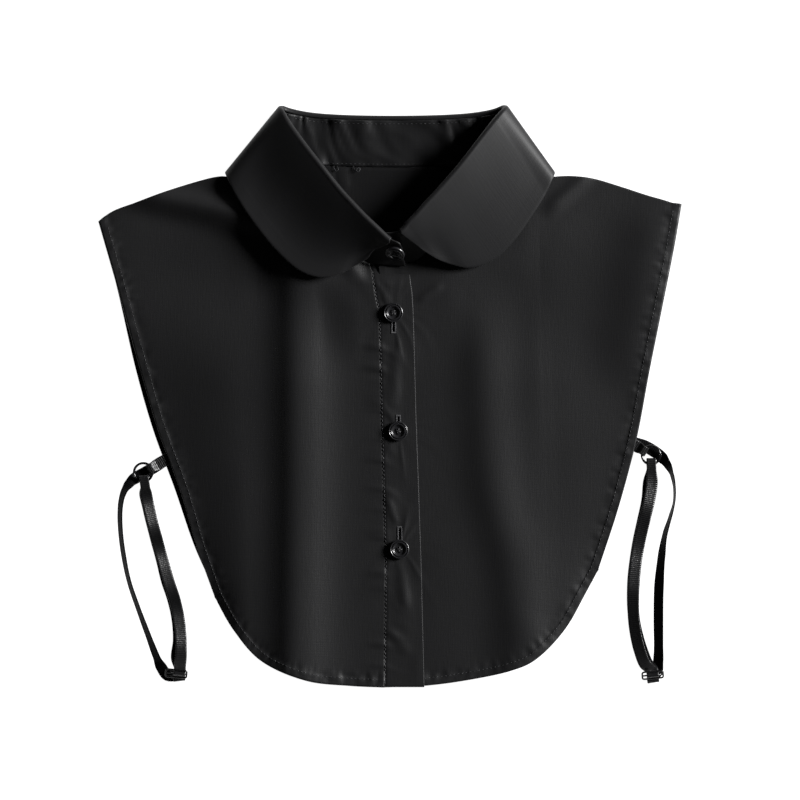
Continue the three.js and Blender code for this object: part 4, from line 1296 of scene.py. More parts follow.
@dataclass
class Front:
    """One front of the bib: a poplin panel hemmed at the armhole and the foot.

    Flat is its height by the placket, fall is how far it sinks outside the leaf, and edge_rise is the share
    of its width over which it rises from the armhole. Each row of lap adds a column past the placket's seam,
    by its distance beyond the seam and its drop.
    """

    side: Side
    armhole: Rows
    hem: Rows
    shoulder: Rows
    flat: float
    fall: float
    fall_start: float
    fall_reach: float
    edge_rise: float
    fold: LongFold
    stations: tuple[float, float]
    middle_shift: float
    lap: Sequence[Point]
    creases: Sequence[Crease]
    seed: int
    steps: tuple[int, int] = (104, 268)

    def outline(self) -> Array:
        """Dense plan points of the hemmed edge, from the shoulder tip to the middle of the foot."""
        dense = np.linspace(0.0, 1.0, 700)
        return np.concatenate([Route(self.armhole).at_length(dense), Route(self.hem).at_length(dense)[1:]])

    def build(self) -> Piece:
        """Builds the panel.

        Returns:
            The panel.
        """
        u = graded(self.steps[0], 0.045, 9, both=True)
        v = graded(self.steps[1], 0.03, 9)
        foot = Route(self.hem).at_length(u)
        top = shoulder_and_neck(self.shoulder, self.stations, SHOULDER_SHARE, u)
        left = Route(self.armhole[::-1]).at_length(v)
        y = mix(foot[-1, 1], top[-1, 1], v)
        x = stitched_side(y) + self.middle_shift
        x = x + (foot[-1, 0] - x) * smooth(0.02, 0.0, v) + (top[-1, 0] - x) * smooth(0.98, 1.0, v)
        middle = np.stack([x, y, np.zeros_like(y)], axis=1)
        points = plan_patch(u, v, foot, top, left, middle)
        away, place = distance_to(self.outline(), points)
        points[..., 2] = self.height(u, v, points) + hem_relief(away, place, self.seed) + self.relief(points)
        thickness = hem_thickness(away)
        for beyond, drop in self.lap:
            points = np.concatenate([points, middle[:, None] + [beyond, 0.0, 0.0]], axis=1)
            points[:, -1, 2] = points[:, len(u) - 1, 2] - drop
            thickness = np.concatenate([thickness, thickness[:, -1:]], axis=1)
        piece = sheet_object(f"front_{self.side.word}_cloth", points, thickness, points[..., :2].copy())
        return dress(piece, BIB_POPLIN, "poplin", f"front_panel_{self.side.word}")

    def height(self, u: Array, v: Array, points: Array) -> Array:
        """The height of the panel's middle, from the armhole up to the neck seam.

        Args:
            u: Shares from the armhole to the placket, one for each column.
            v: Shares from the foot to the top, one for each row.
            points: The panel's points in plan.

        Returns:
            The height at each point.
        """
        x, y = points[..., 0], points[..., 1]
        away = np.maximum(outside_leaf(points) + self.fall_start, 0.0) / self.fall_reach
        fall = self.fall * (1.0 - np.exp(-(away**1.5))) * smooth(5.0, 75.0, y)
        fall = fall * smooth(12.0, 38.0, np.abs(x - stitched_side(y)))
        body = mix(ARMHOLE_HEIGHT, self.flat - fall, smooth(0.0, self.edge_rise, u)[None, :])
        share = np.clip(u / SHOULDER_SHARE, 0, 1)
        station = mix(*self.stations, np.clip((u - SHOULDER_SHARE) / (1 - SHOULDER_SHARE), 0, 1))
        seam = SHAPE.stand(SHAPE.on_stand(station), np.zeros_like(u))[:, 2] - FRONT_BELOW_SEAM
        past_shoulder = smooth(SHOULDER_SHARE - 0.02, SHOULDER_SHARE + 0.3, u)
        top = mix(shoulder_height(share) + SHOULDER_LAP, seam, past_shoulder)
        height = mix(body, top[None, :], smooth(0.68, 1.0, v)[:, None])
        floor = BACK_HEIGHT + FRONT_CLEARANCE + FRONT_RISE_OVER_LEAF * over_leaf(x, y)
        return soft_maximum(height, floor, 0.3) + self.fold.relief(x, y)

    def relief(self, points: Array) -> Array:
        """Small folds and slight waves; by the placket the right front rises as the placket does.

        Args:
            points: The panel's points in plan.

        Returns:
            The height to add.
        """
        x, y = points[..., 0], points[..., 1]
        waves = 0.35 * soft_noise(self.seed + 6, x / 34.0, y / 60.0)
        own = relief_of(self.creases, points) + pulls(points, 0.2, 24.0) + waves
        if self.side is Side.LEFT:
            return own
        dense = np.linspace(-190.0, 90.0, 1200)
        beside = np.exp(-(((x - stitched_side(y)) / 8.0) ** 2))
        return mix(own, np.interp(y, dense, PLACKET.seam_rise(dense)), beside)


@dataclass
class Back:
    """The back of the bib, which lies on the surface and rises over the folded-under leaf at the neck."""

    seed: int = 70
    steps: tuple[int, int] = (190, 150)
    neck_ends: tuple[int, int] = (SIDE_STATION, LAST_STATION - SIDE_STATION)
    creases: Sequence[Crease] = (
        Crease((-33.5, 150.0), (-29.0, 134.0), 2.6, 0.9),
        Crease((-39.5, 150.0), (-38.0, 130.0), 2.6, 0.7),
        Crease((22.0, 150.0), (16.0, 128.0), 4.0, 0.5),
    )

    def outline(self) -> Array:
        """The hemmed edge, from one shoulder tip round the foot to the other.

        Returns:
            The points.
        """
        dense = np.linspace(0.0, 1.0, 700)
        parts = [RIGHT_ARMHOLE_OF_BACK, HEM_OF_BACK, LEFT_ARMHOLE_OF_BACK[::-1]]
        return np.concatenate([Route(part).at_length(dense) for part in parts])

    def neck_station(self, u: Array) -> Array:
        """The collar's station at shares along the top; on the shoulders it stays at the neck's ends."""
        share = BACK_SHOULDER_SHARE
        return mix(*self.neck_ends, np.clip((u - share) / (1 - 2 * share), 0, 1))

    def top(self, u: Array) -> Array:
        """The shoulders and the neck between them.

        Args:
            u: Shares along the top, from the wearer's right.

        Returns:
            Plan points.
        """
        share = BACK_SHOULDER_SHARE
        along = np.clip(np.minimum(u, 1 - u) / share, 0, 1)
        right = shoulder_route([RIGHT_ARMHOLE_OF_BACK[0], *RIGHT_SHOULDER[1:]], self.neck_ends[0])
        left = shoulder_route([LEFT_ARMHOLE_OF_BACK[0], *LEFT_SHOULDER[1:]], self.neck_ends[1])
        top = SHAPE.neck_edge(self.neck_station(u))
        top = np.where((u >= 1 - share)[:, None], left.at_length(along), top)
        top = np.where((u <= share)[:, None], right.at_length(along), top)
        top[:, 2] = 0.0
        return top

    def build(self) -> Piece:
        """Builds the panel.

        Returns:
            The panel.
        """
        u = graded(self.steps[0], 0.03, 8, both=True)
        v = graded(self.steps[1], 0.03, 8)
        foot = Route(HEM_OF_BACK).at_length(u)
        sides = [Route(rows[::-1]).at_length(v) for rows in (RIGHT_ARMHOLE_OF_BACK, LEFT_ARMHOLE_OF_BACK)]
        points = plan_patch(u, v, foot, self.top(u), *sides)
        x, y = points[..., 0], points[..., 1]
        toward = np.minimum(u, 1 - u) / BACK_SHOULDER_SHARE
        seam = SHAPE.stand(SHAPE.on_stand(self.neck_station(u)), np.zeros_like(u))[:, 2] - BACK_BELOW_SEAM
        top = mix(shoulder_height(np.minimum(toward, 1)) - SHOULDER_LAP, seam, smooth(1.0, 1.35, toward))
        floor = BACK_HEIGHT + BACK_RISE_OVER_LEAF * over_leaf(x, y)
        height = mix(floor, top[None, :], smooth(0.84, 1.0, v)[:, None])
        inner = smooth(0.0, 30.0, y) * smooth(100.0, 60.0, np.abs(x))
        thickness = np.minimum(hem_thickness(distance_to(self.outline(), points)[0]), 2 * BACK_HEIGHT)
        waves = 0.3 + 0.3 * soft_noise(self.seed, x / 26.0, y / 34.0)
        points[..., 2] = height + inner * waves + relief_of(self.creases, points)
        piece = sheet_object("back_cloth", points, thickness, points[..., :2].copy())
        # The back panel's darker poplin is painted shade
        return dress(piece, SHADED_INSIDE_POPLIN, "poplin", "back_panel")


@dataclass
class Placket:
    """The folded strip with the buttonholes, stitched down on the wearer's right and creased on the left.

    Its top dips under the band's lapped end.
    """

    creases: Sequence[Crease]
    width: float = 22.0
    dip: float = 3.4
    slit_width: float = 1.0
    seed: int = 40
    steps: tuple[int, int] = (26, 230)

    def build(self) -> Piece:
        """Builds the strip and cuts the buttonholes.

        Returns:
            The placket.
        """
        u = graded(self.steps[0], 0.03, 4, both=True)
        v = np.linspace(0.0, 1.0, self.steps[1])
        y = mix(PLACKET_ROWS[-1][0], PLACKET_ROWS[0][0], v)[:, None]
        x = mix(stitched_side(y), placket_side(y, 2), u[None, :])
        points = np.stack(np.broadcast_arrays(x, y, PLACKET_HEIGHT), axis=-1).copy()
        stitched = smooth(0.1, 0.0, u)[None, :]
        points[..., 2] += self.relief(points, u) - 0.25 * stitched
        thickness = np.broadcast_to(mix(COLLAR_CLOTH, 0.5, stitched), points.shape[:2])
        piece = sheet_object("placket_cloth", points, thickness, points[..., :2].copy())
        for place in BUTTON_PLACES:
            self.cut_slit(piece, place)
        return dress(piece, BIB_POPLIN, "poplin", "placket")

    def relief(self, points: Array, u: Array) -> Array:
        """The pulls between the buttons and the stitched side's puckers, all upwards, then the dip.

        Args:
            points: The strip's points.
            u: Shares from its stitched side, one for each column.

        Returns:
            The height to add.
        """
        x, y = points[..., 0], points[..., 1]
        away = u[None, :] * self.width
        pucker = 0.7 * soft_noise(self.seed, y / 4.6 + away / 9.0, away / 8.0) * np.exp(-away / 6.0)
        waves = 0.28 * soft_noise(self.seed + 1, x / 9.0, y / 22.0)
        raised = relief_of(self.creases, points) + pulls(points, 0.38, 20.0) + pucker + waves
        return soft_maximum(raised, 0.0, 0.05) * smooth(82.0, 70.0, y) - self.dip * smooth(72.0, 86.0, y)

    def seam_rise(self, y: Array) -> Array:
        """The rise of the stitched side at heights down the front."""
        points = np.stack([stitched_side(y), y, np.zeros_like(y)], axis=1)[:, None]
        return self.relief(points, np.zeros(1))[:, 0]

    def cut_slit(self, piece: Piece, place: ButtonPlace) -> None:
        """Cuts the slit of one buttonhole.

        Args:
            piece: The placket.
            place: The button and its buttonhole.
        """
        middle = Vector((place.x, (place.top + place.foot) / 2, PLACKET_HEIGHT)) * MM
        bpy.ops.mesh.primitive_cube_add(size=1, location=middle)
        tool = bpy.context.object
        tool.scale = (self.slit_width * MM, (place.top - place.foot - 2.0) * MM, 0.01)
        cut(piece, tool)


@dataclass
class Stand:
    """The band round the neck, in two fused layers, puckered where the leaf and the bib are sewn to it.

    Smooth_ends gives the shares of its length over which the puckers start behind each of its front ends.
    """

    seed: int = 90
    steps: tuple[int, int] = (420, 26)
    pucker: float = 1.9
    smooth_ends: tuple[Point, Point] = ((0.24, 0.34), (0.76, 0.66))

    def build(self) -> Piece:
        """Builds the band, smooth at the front and puckered behind the neck.

        Returns:
            The band.
        """
        u = np.linspace(0.0, 1.0, self.steps[0])
        v = np.linspace(0.0, 1.0, self.steps[1])
        points = SHAPE.stand(u[None, :], v[:, None])
        along = SHAPE.seam.length * u[None, :]
        height = STAND_WIDTH * v[:, None]
        broad = soft_noise(self.seed, along / 7.0, height / 24.0)
        narrow = soft_noise(self.seed + 1, along / 3.4 + 0.06 * height, height / 16.0)
        pucker = 0.9 * broad + 0.9 * (1.0 - 2.0 * np.abs(narrow)) * (0.6 + 0.4 * broad)
        edges = 0.35 + 0.65 * np.maximum(np.exp(-height / 9.0), np.exp(-(STAND_WIDTH - height) / 7.0))
        behind = smooth(*self.smooth_ends[0], u) * smooth(*self.smooth_ends[1], u)
        points = points + grid_normals(points) * (self.pucker * pucker * edges * behind[None, :])[..., None]
        uv = np.stack(np.broadcast_arrays(along, height), axis=-1)
        piece = sheet_object("stand_cloth", points, np.full(points.shape[:2], COLLAR_CLOTH), uv)
        return dress(piece, BAND_POPLIN, "fused_poplin", "collar_stand")


@dataclass
class Leaf:
    """The folded-over leaf with its two rounded wings, fused flat and turned at the edge.

    Wings holds the stations over which each wing starts, hollows the depth of the right wing's hollow and the
    left one's, and rim the share of the width at which the finer rows of the edge begin.
    """

    seed: int = 110
    steps: tuple[int, int] = (380, 46)
    rim: float = 0.93
    wings: tuple[Point, Point] = ((8.8, 6.4), (19.2, 21.6))
    hollows: tuple[float, float] = (-3.0, -0.3)

    def build(self) -> Piece:
        """Builds the leaf, hollow in its two wings.

        Returns:
            The leaf.
        """
        u = graded(self.steps[0], 0.012, 8, both=True)
        v = np.concatenate([
            np.linspace(0.0, ROLL_SHARE, 13),
            np.linspace(ROLL_SHARE, self.rim, self.steps[1])[1:],
            np.linspace(self.rim, 1.0, 10)[1:],
        ])
        points = SHAPE.leaf(u, v)
        outer = np.clip((v - ROLL_SHARE) / (1 - ROLL_SHARE), 0, 1)[:, None]
        front = sum(smooth(*stations, u * LAST_STATION) for stations in self.wings)[None, :]
        along = SHAPE.edge.length * u[None, :]
        hollow = mix(*self.hollows, smooth(-20.0, 20.0, SHAPE.edge.at(u)[:, 0]))[None, :]
        bulge = hollow * np.sin(np.pi * outer**1.4) * front
        waves = 0.28 * soft_noise(self.seed, along / 42.0, outer * 1.7) * np.sin(np.pi * outer) * front
        points = points + grid_normals(points) * (bulge + waves)[..., None]
        to_edge = (1.0 - outer) * WING_WIDTH
        turning = smooth(6.5, 5.0, to_edge) * front
        rounding = mix(0.55, 1.0, np.sqrt(np.clip(to_edge, 0, 1)))
        thickness = mix(COLLAR_CLOTH, COLLAR_TURNING, turning) * rounding
        uv = np.stack(np.broadcast_arrays(along, LEAF_WIDTH * v[:, None]), axis=-1)
        piece = sheet_object("leaf_cloth", points, thickness, uv)
        # The leaf's lighter poplin is painted light
        return dress(piece, LIT_FUSED_POPLIN, "fused_poplin", "collar_leaf")


# Buttons


# Half of a button's section, from the middle of its back to the middle of its dish, as shares of the radius
# and the height
BUTTON_SECTION = (
    (0.0, 0.0), (0.7, 0.0), (0.86, 0.12), (0.96, 0.3), (1.0, 0.5), (0.985, 0.7), (0.95, 0.88), (0.9, 0.94),
    (0.85, 0.88), (0.82, 0.76), (0.79, 0.74), (0.77, 0.84), (0.73, 0.98), (0.68, 1.0), (0.64, 0.94),
    (0.61, 0.76), (0.58, 0.6), (0.54, 0.52), (0.46, 0.5), (0.0, 0.5),
)


@dataclass
class Button:
    """A four-hole shirt button, turned with a raised rim round a dished middle."""

    diameter: float = 12.8
    height: float = 2.6
    hole_diameter: float = 1.5
    hole_radius: float = 1.75
    thread_offset: float = 0.24
    upper_thread_lift: float = 0.18
    template: Piece | None = field(default=None, init=False)

    def model(self) -> Piece:
        """Spins the section into a button at the origin, drills its holes and rounds its corners.

        Returns:
            The button.
        """
        bpy.ops.object.select_all(action="DESELECT")
        mesh = bpy.data.meshes.new("button")
        verts = [(self.diameter / 2 * r * MM, 0.0, self.height * h * MM) for r, h in BUTTON_SECTION]
        mesh.from_pydata(verts, [(i, i + 1) for i in range(len(verts) - 1)], [])
        piece = bpy.data.objects.new("button", mesh)
        bpy.context.scene.collection.objects.link(piece)
        bpy.context.view_layer.objects.active = piece
        piece.select_set(True)
        bpy.ops.object.mode_set(mode="EDIT")
        bpy.ops.mesh.select_all(action="SELECT")
        bpy.ops.mesh.spin(steps=64, angle=math.tau, center=(0, 0, 0), axis=(0, 0, 1))
        bpy.ops.mesh.select_all(action="SELECT")
        bpy.ops.mesh.remove_doubles(threshold=1e-6)
        bpy.ops.mesh.normals_make_consistent(inside=False)
        bpy.ops.object.mode_set(mode="OBJECT")
        for degrees in (45, 135, 225, 315):
            self.drill(piece, degrees)
        soften = piece.modifiers.new("edge", "BEVEL")
        soften.width = 0.12 * MM
        soften.segments = 2
        soften.limit_method = "ANGLE"
        soften.angle_limit = math.radians(50)
        bpy.ops.object.modifier_apply(modifier=soften.name)
        piece.select_set(True)
        bpy.ops.object.shade_smooth_by_angle(angle=math.radians(40))
        return piece

    def drill(self, piece: Piece, degrees: float) -> None:
        """Drills one hole.

        Args:
            piece: The button.
            degrees: The hole's angle round the button's middle.
        """
        bpy.ops.mesh.primitive_cylinder_add(
            vertices=24,
            radius=self.hole_diameter / 2 * MM,
            depth=0.02,
            location=Vector(direction(degrees)) * self.hole_radius * MM,
        )
        cut(piece, bpy.context.object)

    def copy_to(self, name: str, place: Matrix) -> Piece:
        """Copies the button.

        Args:
            name: The copy's name.
            place: Its place in metres.

        Returns:
            The copy.
        """
        if self.template is None:
            self.template = self.model()
        piece = self.template.copy()
        piece.data = self.template.data.copy()
        piece.name = name
        piece.data.transform(place)
        bpy.context.scene.collection.objects.link(piece)
        return piece

    def thread(self, name: str, place: Matrix, shank: float) -> Piece:
        """Makes the sewing thread of a button: two crossed strands over the dish and a shank below.

        Args:
            name: The object's name.
            place: The button's place in metres.
            shank: How far the shank reaches below the button's back.

        Returns:
            The thread.
        """
        dish = self.height * 0.5
        reach = self.hole_radius + 0.1
        made = []
        for degrees, lift in ((45, 0.0), (135, self.upper_thread_lift)):
            # Half a strand from the shank's foot up through a hole: along, share of the offset aside, height
            half = ((0.5, 0, -shank), (1.3, 0, -0.4), (reach, 1, dish * 0.8), (reach - 0.35, 1, dish + 0.28))
            rows = [*half, (0.0, 1, dish + 0.34 + lift), *[(-x, share, z) for x, share, z in half[::-1]]]
            out = direction(degrees)
            for offset in (-self.thread_offset, self.thread_offset):
                side = direction(degrees + 90) * offset
                route = Route([tuple(out * x + side * share + [0.0, 0.0, z]) for x, share, z in rows])
                centres = route.at(np.linspace(0.0, 1.0, 49))
                run = unit(np.gradient(centres, axis=0))
                across = unit(np.cross(run, unit(side)[None])) * THREAD_WIDTH
                made.append(swept_object(name, centres, across, np.cross(run, across), round_section(8)))
        return joined(made, name, place)


@dataclass
class Buttons:
    """All four buttons with their threads and buttonhole stitching.

    Seat is the stand button's place on the stand, as shares of its length and width, and turn is the angle
    in degrees by which each front button is turned further than the one above. The rows of a buttonhole lie
    row_offset from its middle, and a bar reaches bar_half to each side of it.
    """

    clearance: float = 0.5
    shank_dip: float = 0.4
    turn: float = 12.0
    seat: Point = (0.048, 0.6)
    row_offset: float = 1.15
    row_stitch: float = 1.35
    bar_half: float = 1.5
    bar_stitch: float = 1.6
    hole_pitch: float = 0.42
    hole_thread: float = 0.5
    button: Button = field(default_factory=Button)

    @property
    def lift(self) -> float:
        """The height of a button's back above the middle of its cloth."""
        return COLLAR_CLOTH / 2 + self.clearance

    def build(self, placket: Piece) -> None:
        """Builds the front buttons, the stand's button and the buttonholes.

        Args:
            placket: The strip that the buttonholes are sewn on.
        """
        for place in BUTTON_PLACES:
            low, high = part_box(f"button_{place.number}")
            at = Matrix.Translation(Vector(((low.x + high.x) / 2, (low.y + high.y) / 2, low.z)))
            turned = at @ Matrix.Rotation(math.radians(self.turn * place.number), 4, "Z")
            self.sew_on("shirt_button", "button", turned, f"_{place.number}")
        self.sew_on("stand_button", "collar_button", self.stand_place())
        bpy.data.objects.remove(self.button.template)
        self.sew_buttonholes(Cloth(placket))

    def sew_on(self, piece: str, node: str, place: Matrix, number: str = "") -> None:
        """Puts a button and its thread at a place.

        Args:
            piece: The button's name; its thread is named after it.
            node: The name of the node that the button stands for.
            place: The button's place in metres.
            number: What each of the names ends with.
        """
        button = self.button.copy_to(f"{piece}{number}", place)
        dress(button, RESIN, "button_plastic", f"{node}{number}")
        thread = self.button.thread(f"{piece}_thread{number}", place, self.lift + self.shank_dip)
        dress(thread, THREAD, "sewing_thread", f"{node}_thread{number}")

    def stand_place(self) -> Matrix:
        """The stand button's place, with its own Z pointing out of the stand.

        Returns:
            The place in metres.
        """
        frame = SHAPE.frame(*map(np.array, self.seat))
        across = -frame.along
        point = (frame.point + frame.outward * self.lift) * MM
        columns = [Vector(across), Vector(np.cross(frame.outward, across)), Vector(frame.outward)]
        return Matrix.Translation(Vector(point)) @ Matrix(columns).transposed().to_4x4()

    def sew_buttonholes(self, cloth: Cloth) -> None:
        """Sews a close row of stitches on both sides of each slit and a bar at each end.

        Args:
            cloth: The placket's surface.
        """
        rows, bars = [], []
        for place in BUTTON_PLACES:
            for x in (place.x - self.row_offset, place.x + self.row_offset):
                rows.append(self.close_row(cloth, (x, place.foot + 1.0), (x, place.top - 1.0)))
            for y in (place.foot + 0.5, place.top - 0.5):
                ends = [(place.x + side * self.bar_half, y) for side in (-1, 1)]
                bars.append(self.close_row(cloth, *ends))
        sew("buttonhole_stitches", rows, self.row_stitch, self.hole_thread)
        sew("buttonhole_bars", bars, self.bar_stitch, self.hole_thread)

    def close_row(self, cloth: Cloth, start: Point, end: Point) -> StitchRow:
        """Spaces stitches closely between two plan points, each lying across the row."""
        points, along, normals = stitch_row(cloth, np.array([start, end]), self.hole_pitch)
        return points, along[:, [1, 0, 2]], normals


# Side straps


@dataclass(frozen=True)
class StrapRow:
    """A place along the outer strand, with the angle in degrees by which the band stands on its edge."""

    x: float
    y: float
    lean: float


@dataclass(frozen=True)
class WideRow:
    """A place along the wide strand: its lower layer's shift aside, its lift, and its lean in degrees."""

    x: float
    y: float
    shift: float
    lift: float = 0.0
    lean: float = 0.0


def heading(rows: Sequence[StrapRow | WideRow], i: int) -> float:
    """The angle in degrees at which a strand runs at one of its rows."""
    before, after = rows[max(i - 1, 0)], rows[min(i + 1, len(rows) - 1)]
    return math.degrees(math.atan2(after.y - before.y, after.x - before.x))


@dataclass(frozen=True)
class BendPlane:
    """An upright plane in which a band bends.

    It runs from an origin in plan along a direction. Places in it are counted from its height, and tilt in
    degrees turns them upwards about the origin.
    """

    origin: Point
    run: Sequence[float]
    height: float = 0.0
    tilt: float = 0.0

    def at(self, distance: float, height: float) -> Point:
        """A point of the plane.

        Args:
            distance: How far along the plane it is.
            height: How far above the plane's own height.

        Returns:
            The point.
        """
        tilt = math.radians(self.tilt)
        along = distance * math.cos(tilt) - height * math.sin(tilt)
        rise = distance * math.sin(tilt) + height * math.cos(tilt)
        return self.origin[0] + self.run[0] * along, self.origin[1] + self.run[1] * along, self.height + rise


class BandRoute:
    """The places that a band passes, with the direction of its width at each.

    The length of a direction is the share of the band's full width there.
    """

    def __init__(self) -> None:
        """Starts with no place."""
        self.points: list[Point] = []
        self.acrosses: list[Array] = []

    def add(self, point: Point, across: Array) -> None:
        """Adds a place."""
        self.points.append(point)
        self.acrosses.append(across)

    def add_bend(
        self, plane: BendPlane, centre: Point, radius: float, start: float, end: float, across: Array
    ) -> None:
        """Adds four places round a bend.

        Args:
            plane: The plane in which the band bends.
            centre: The bend's middle, as a distance and a height in the plane.
            radius: The bend's radius.
            start: The angle in degrees where it starts.
            end: The angle in degrees where it ends.
            across: The direction of the band's width.
        """
        for i in range(4):
            angle = math.radians(start + (end - start) * i / 3)
            place = plane.at(centre[0] + radius * math.cos(angle), centre[1] + radius * math.sin(angle))
            self.add(place, across)


@dataclass
class SideStrap:
    """An elastic strap with its tab, ring and slider.

    Angles are in degrees. The tab leaves the ring at tab_turn and ends at tab_reach from the ring's middle.
    Through the slider the strap runs at strand_turn. At its foot, turn_reach below the slider, it folds over
    itself along a line at the angle crease, and in the ring it is gathered to a share of its width.
    """

    side: Side
    ring: Point
    tab_turn: float
    tab_reach: float
    slider: Point
    slider_turn: float
    slider_tilt: float
    strand_x: float
    strand_turn: float
    crease: float
    outer: Sequence[StrapRow]
    wide: Sequence[WideRow]
    width: float = 7.8
    thickness: float = 0.8
    foot_height: float = 0.5
    turn_reach: float = 4.8
    ring_radius: float = 6.0
    ring_wire: float = 1.6
    ring_height: float = 3.25
    ring_gather: float = 0.8
    slider_length: float = 14.7
    bar_pitch: float = 2.9
    slider_wire: float = 1.15
    corner_radius: float = 1.3
    slider_height: float = 6.1
    gap: float = 0.3
    tab_layer: float = 0.5
    tail_height: float = 1.75
    steps: int = 6

    @property
    def layer(self) -> float:
        """The height from one layer of the strap to the next."""
        return self.thickness + 0.4

    def build(self) -> None:
        """Builds the four pieces."""
        word = self.side.word
        dress(self.strap(), ELASTIC, "elastic", f"elastic_strap_{word}")
        dress(self.tab(), ELASTIC, "elastic", f"ring_tab_{word}")
        dress(self.wire_ring(), WIRE, "coated_wire", f"strap_ring_{word}")
        dress(self.wire_slider(), WIRE, "coated_wire", f"strap_slider_{word}")

    def strap(self) -> Piece:
        """Leads the strap down, round the slider, up through the ring and back to the slider's bar.

        Returns:
            The strap.
        """
        route = BandRoute()
        self.add_outer_strand(route)
        self.add_foot_turn(route)
        side = direction(self.strand_turn - 90)
        place = self.strand_x, self.slider[1]
        slider = BendPlane(place, direction(self.strand_turn), self.slider_height, self.slider_tilt)
        reach = self.past_wire(self.slider_wire, self.thickness)
        slope = math.degrees(math.asin(2 * reach / self.bar_pitch))
        route.add_bend(slider, (-self.bar_pitch, 0), reach, -90, -90 + slope, side)
        route.add_bend(slider, (0, 0), reach, 90 + slope, 90 - slope, side)
        route.add_bend(slider, (self.bar_pitch, 0), reach, -90 - slope, -90, side)
        sides = [direction(heading(self.wide, i) - 90, row.lean) for i, row in enumerate(self.wide)]
        wide = list(zip(self.wide, sides))
        for row, aside in wide:
            route.add((row.x, row.y, self.foot_height + self.layer + row.lift), aside)
        self.add_ring_turn(route)
        for row, aside in reversed(wide):
            x, y = row.x - aside[0] * row.shift, row.y - aside[1] * row.shift
            route.add((x, y, self.foot_height + row.lift), aside)
        route.add(slider.at(self.bar_pitch, -reach - self.layer), side)
        route.add(slider.at(0.2, -reach), side)
        return self.band(f"side_strap_{self.side.word}", route, self.thickness)

    def past_wire(self, wire: float, thickness: float) -> float:
        """The distance from a wire's middle to the middle of a band that passes it."""
        return wire / 2 + self.gap + thickness / 2

    def add_outer_strand(self, route: BandRoute) -> None:
        """Adds the strand from the back panel to the foot, which stands on its edge for most of its way.

        Args:
            route: The strap's route, with no place yet.
        """
        for i, row in enumerate(self.outer):
            rise = self.width / 2 * math.sin(math.radians(row.lean))
            across = direction(heading(self.outer, i) + 90, row.lean)
            route.add((row.x, row.y, self.foot_height + rise), across)

    def add_foot_turn(self, route: BandRoute) -> None:
        """Adds the turn at the foot, where the strap folds over itself towards the slider.

        Args:
            route: The strap's route so far.
        """
        crease = direction(self.crease)
        run = direction(self.strand_turn) * (self.layer - self.turn_reach)
        plane = BendPlane((self.strand_x + run[0], self.slider[1] + run[1]), (-crease[1], crease[0]))
        route.add(plane.at(1.5 * self.layer, self.foot_height), crease)
        route.add_bend(plane, (0, self.foot_height + self.layer), self.layer, -90, -270, crease)

    def add_ring_turn(self, route: BandRoute) -> None:
        """Adds the turn over and under the ring's wire, where the strap is gathered.

        Args:
            route: The strap's route so far.
        """
        nearest = self.wide[-1]
        run = unit(np.array([self.ring[0] - nearest.x, self.ring[1] - nearest.y]))
        side = self.ring_gather * np.array([run[1], -run[0], 0.0])
        plane = BendPlane(self.ring, run, self.ring_height)
        reach = self.past_wire(self.ring_wire, self.thickness)
        near = -self.ring_radius
        route.add(plane.at(near - 3.4, 0.7 * reach), side)
        route.add(plane.at(near - 0.6, reach), side)
        route.add_bend(plane, (near + 2.3, 0), reach, 90, -90, side)
        route.add(plane.at(near - 0.6, -reach), side)
        route.add(plane.at(near - 3.4, -1.25 * reach), side)

    def band(self, name: str, route: BandRoute, thickness: float) -> Piece:
        """Sweeps the elastic's section along a route.

        Args:
            name: The object's name.
            route: The band's places.
            thickness: The band's thickness.

        Returns:
            The band.
        """
        stretches = len(route.points) - 1
        share = np.linspace(0.0, 1.0, self.steps * stretches + 1)
        centres = Route(route.points).at(share)
        place = share * stretches
        i = np.minimum(place.astype(int), stretches - 1)
        rows = np.array(route.acrosses)
        wide = mix(rows[i], rows[i + 1], smooth(0.0, 1.0, place - i)[:, None])
        size = np.linalg.norm(wide, axis=1, keepdims=True)
        run = unit(np.gradient(centres, axis=0))
        wide = unit(wide - run * (wide * run).sum(axis=1, keepdims=True)) * size * self.width
        return swept_object(name, centres, wide, unit(np.cross(run, wide)) * thickness, band_section())

    def tab(self) -> Piece:
        """Folds the same elastic round the ring, its two ends tucked between front and back.

        Returns:
            The tab.
        """
        layer = self.tab_layer
        tail = self.tail_height - self.ring_height
        hole = self.past_wire(self.ring_wire, layer)
        bend = self.ring_radius - 1.25
        beside, shoulder, flat = (self.ring_radius + reach for reach in (1.0, 3.4, 6.2))
        narrow = self.ring_gather
        # Distance from the ring's middle, height from it, and share of the full width
        upper = [
            (self.tab_reach, tail + layer / 2, 1.0),
            (flat, tail + layer / 2 + 0.02, 1.0),
            (shoulder, tail + layer, 0.95),
            (beside, hole, narrow),
            (bend, hole, narrow),
        ]
        turn = [
            (bend - hole * math.sin(angle), hole * math.cos(angle), narrow)
            for angle in np.linspace(0, math.pi, 7)[1:-1]
        ]
        lower = [
            (bend, -hole, narrow),
            (beside, -hole, narrow),
            (shoulder, tail - layer * 0.7, 0.95),
            (flat, tail - layer / 2 - 0.02, 1.0),
            (self.tab_reach, tail - layer / 2, 1.0),
        ]
        plane = BendPlane(self.ring, direction(self.tab_turn), self.ring_height)
        side = direction(self.tab_turn + 90)
        route = BandRoute()
        for distance, height, share in [*upper, *turn, *lower]:
            route.add(plane.at(distance, height), side * share)
        return self.band(f"strap_tab_{self.side.word}", route, layer)

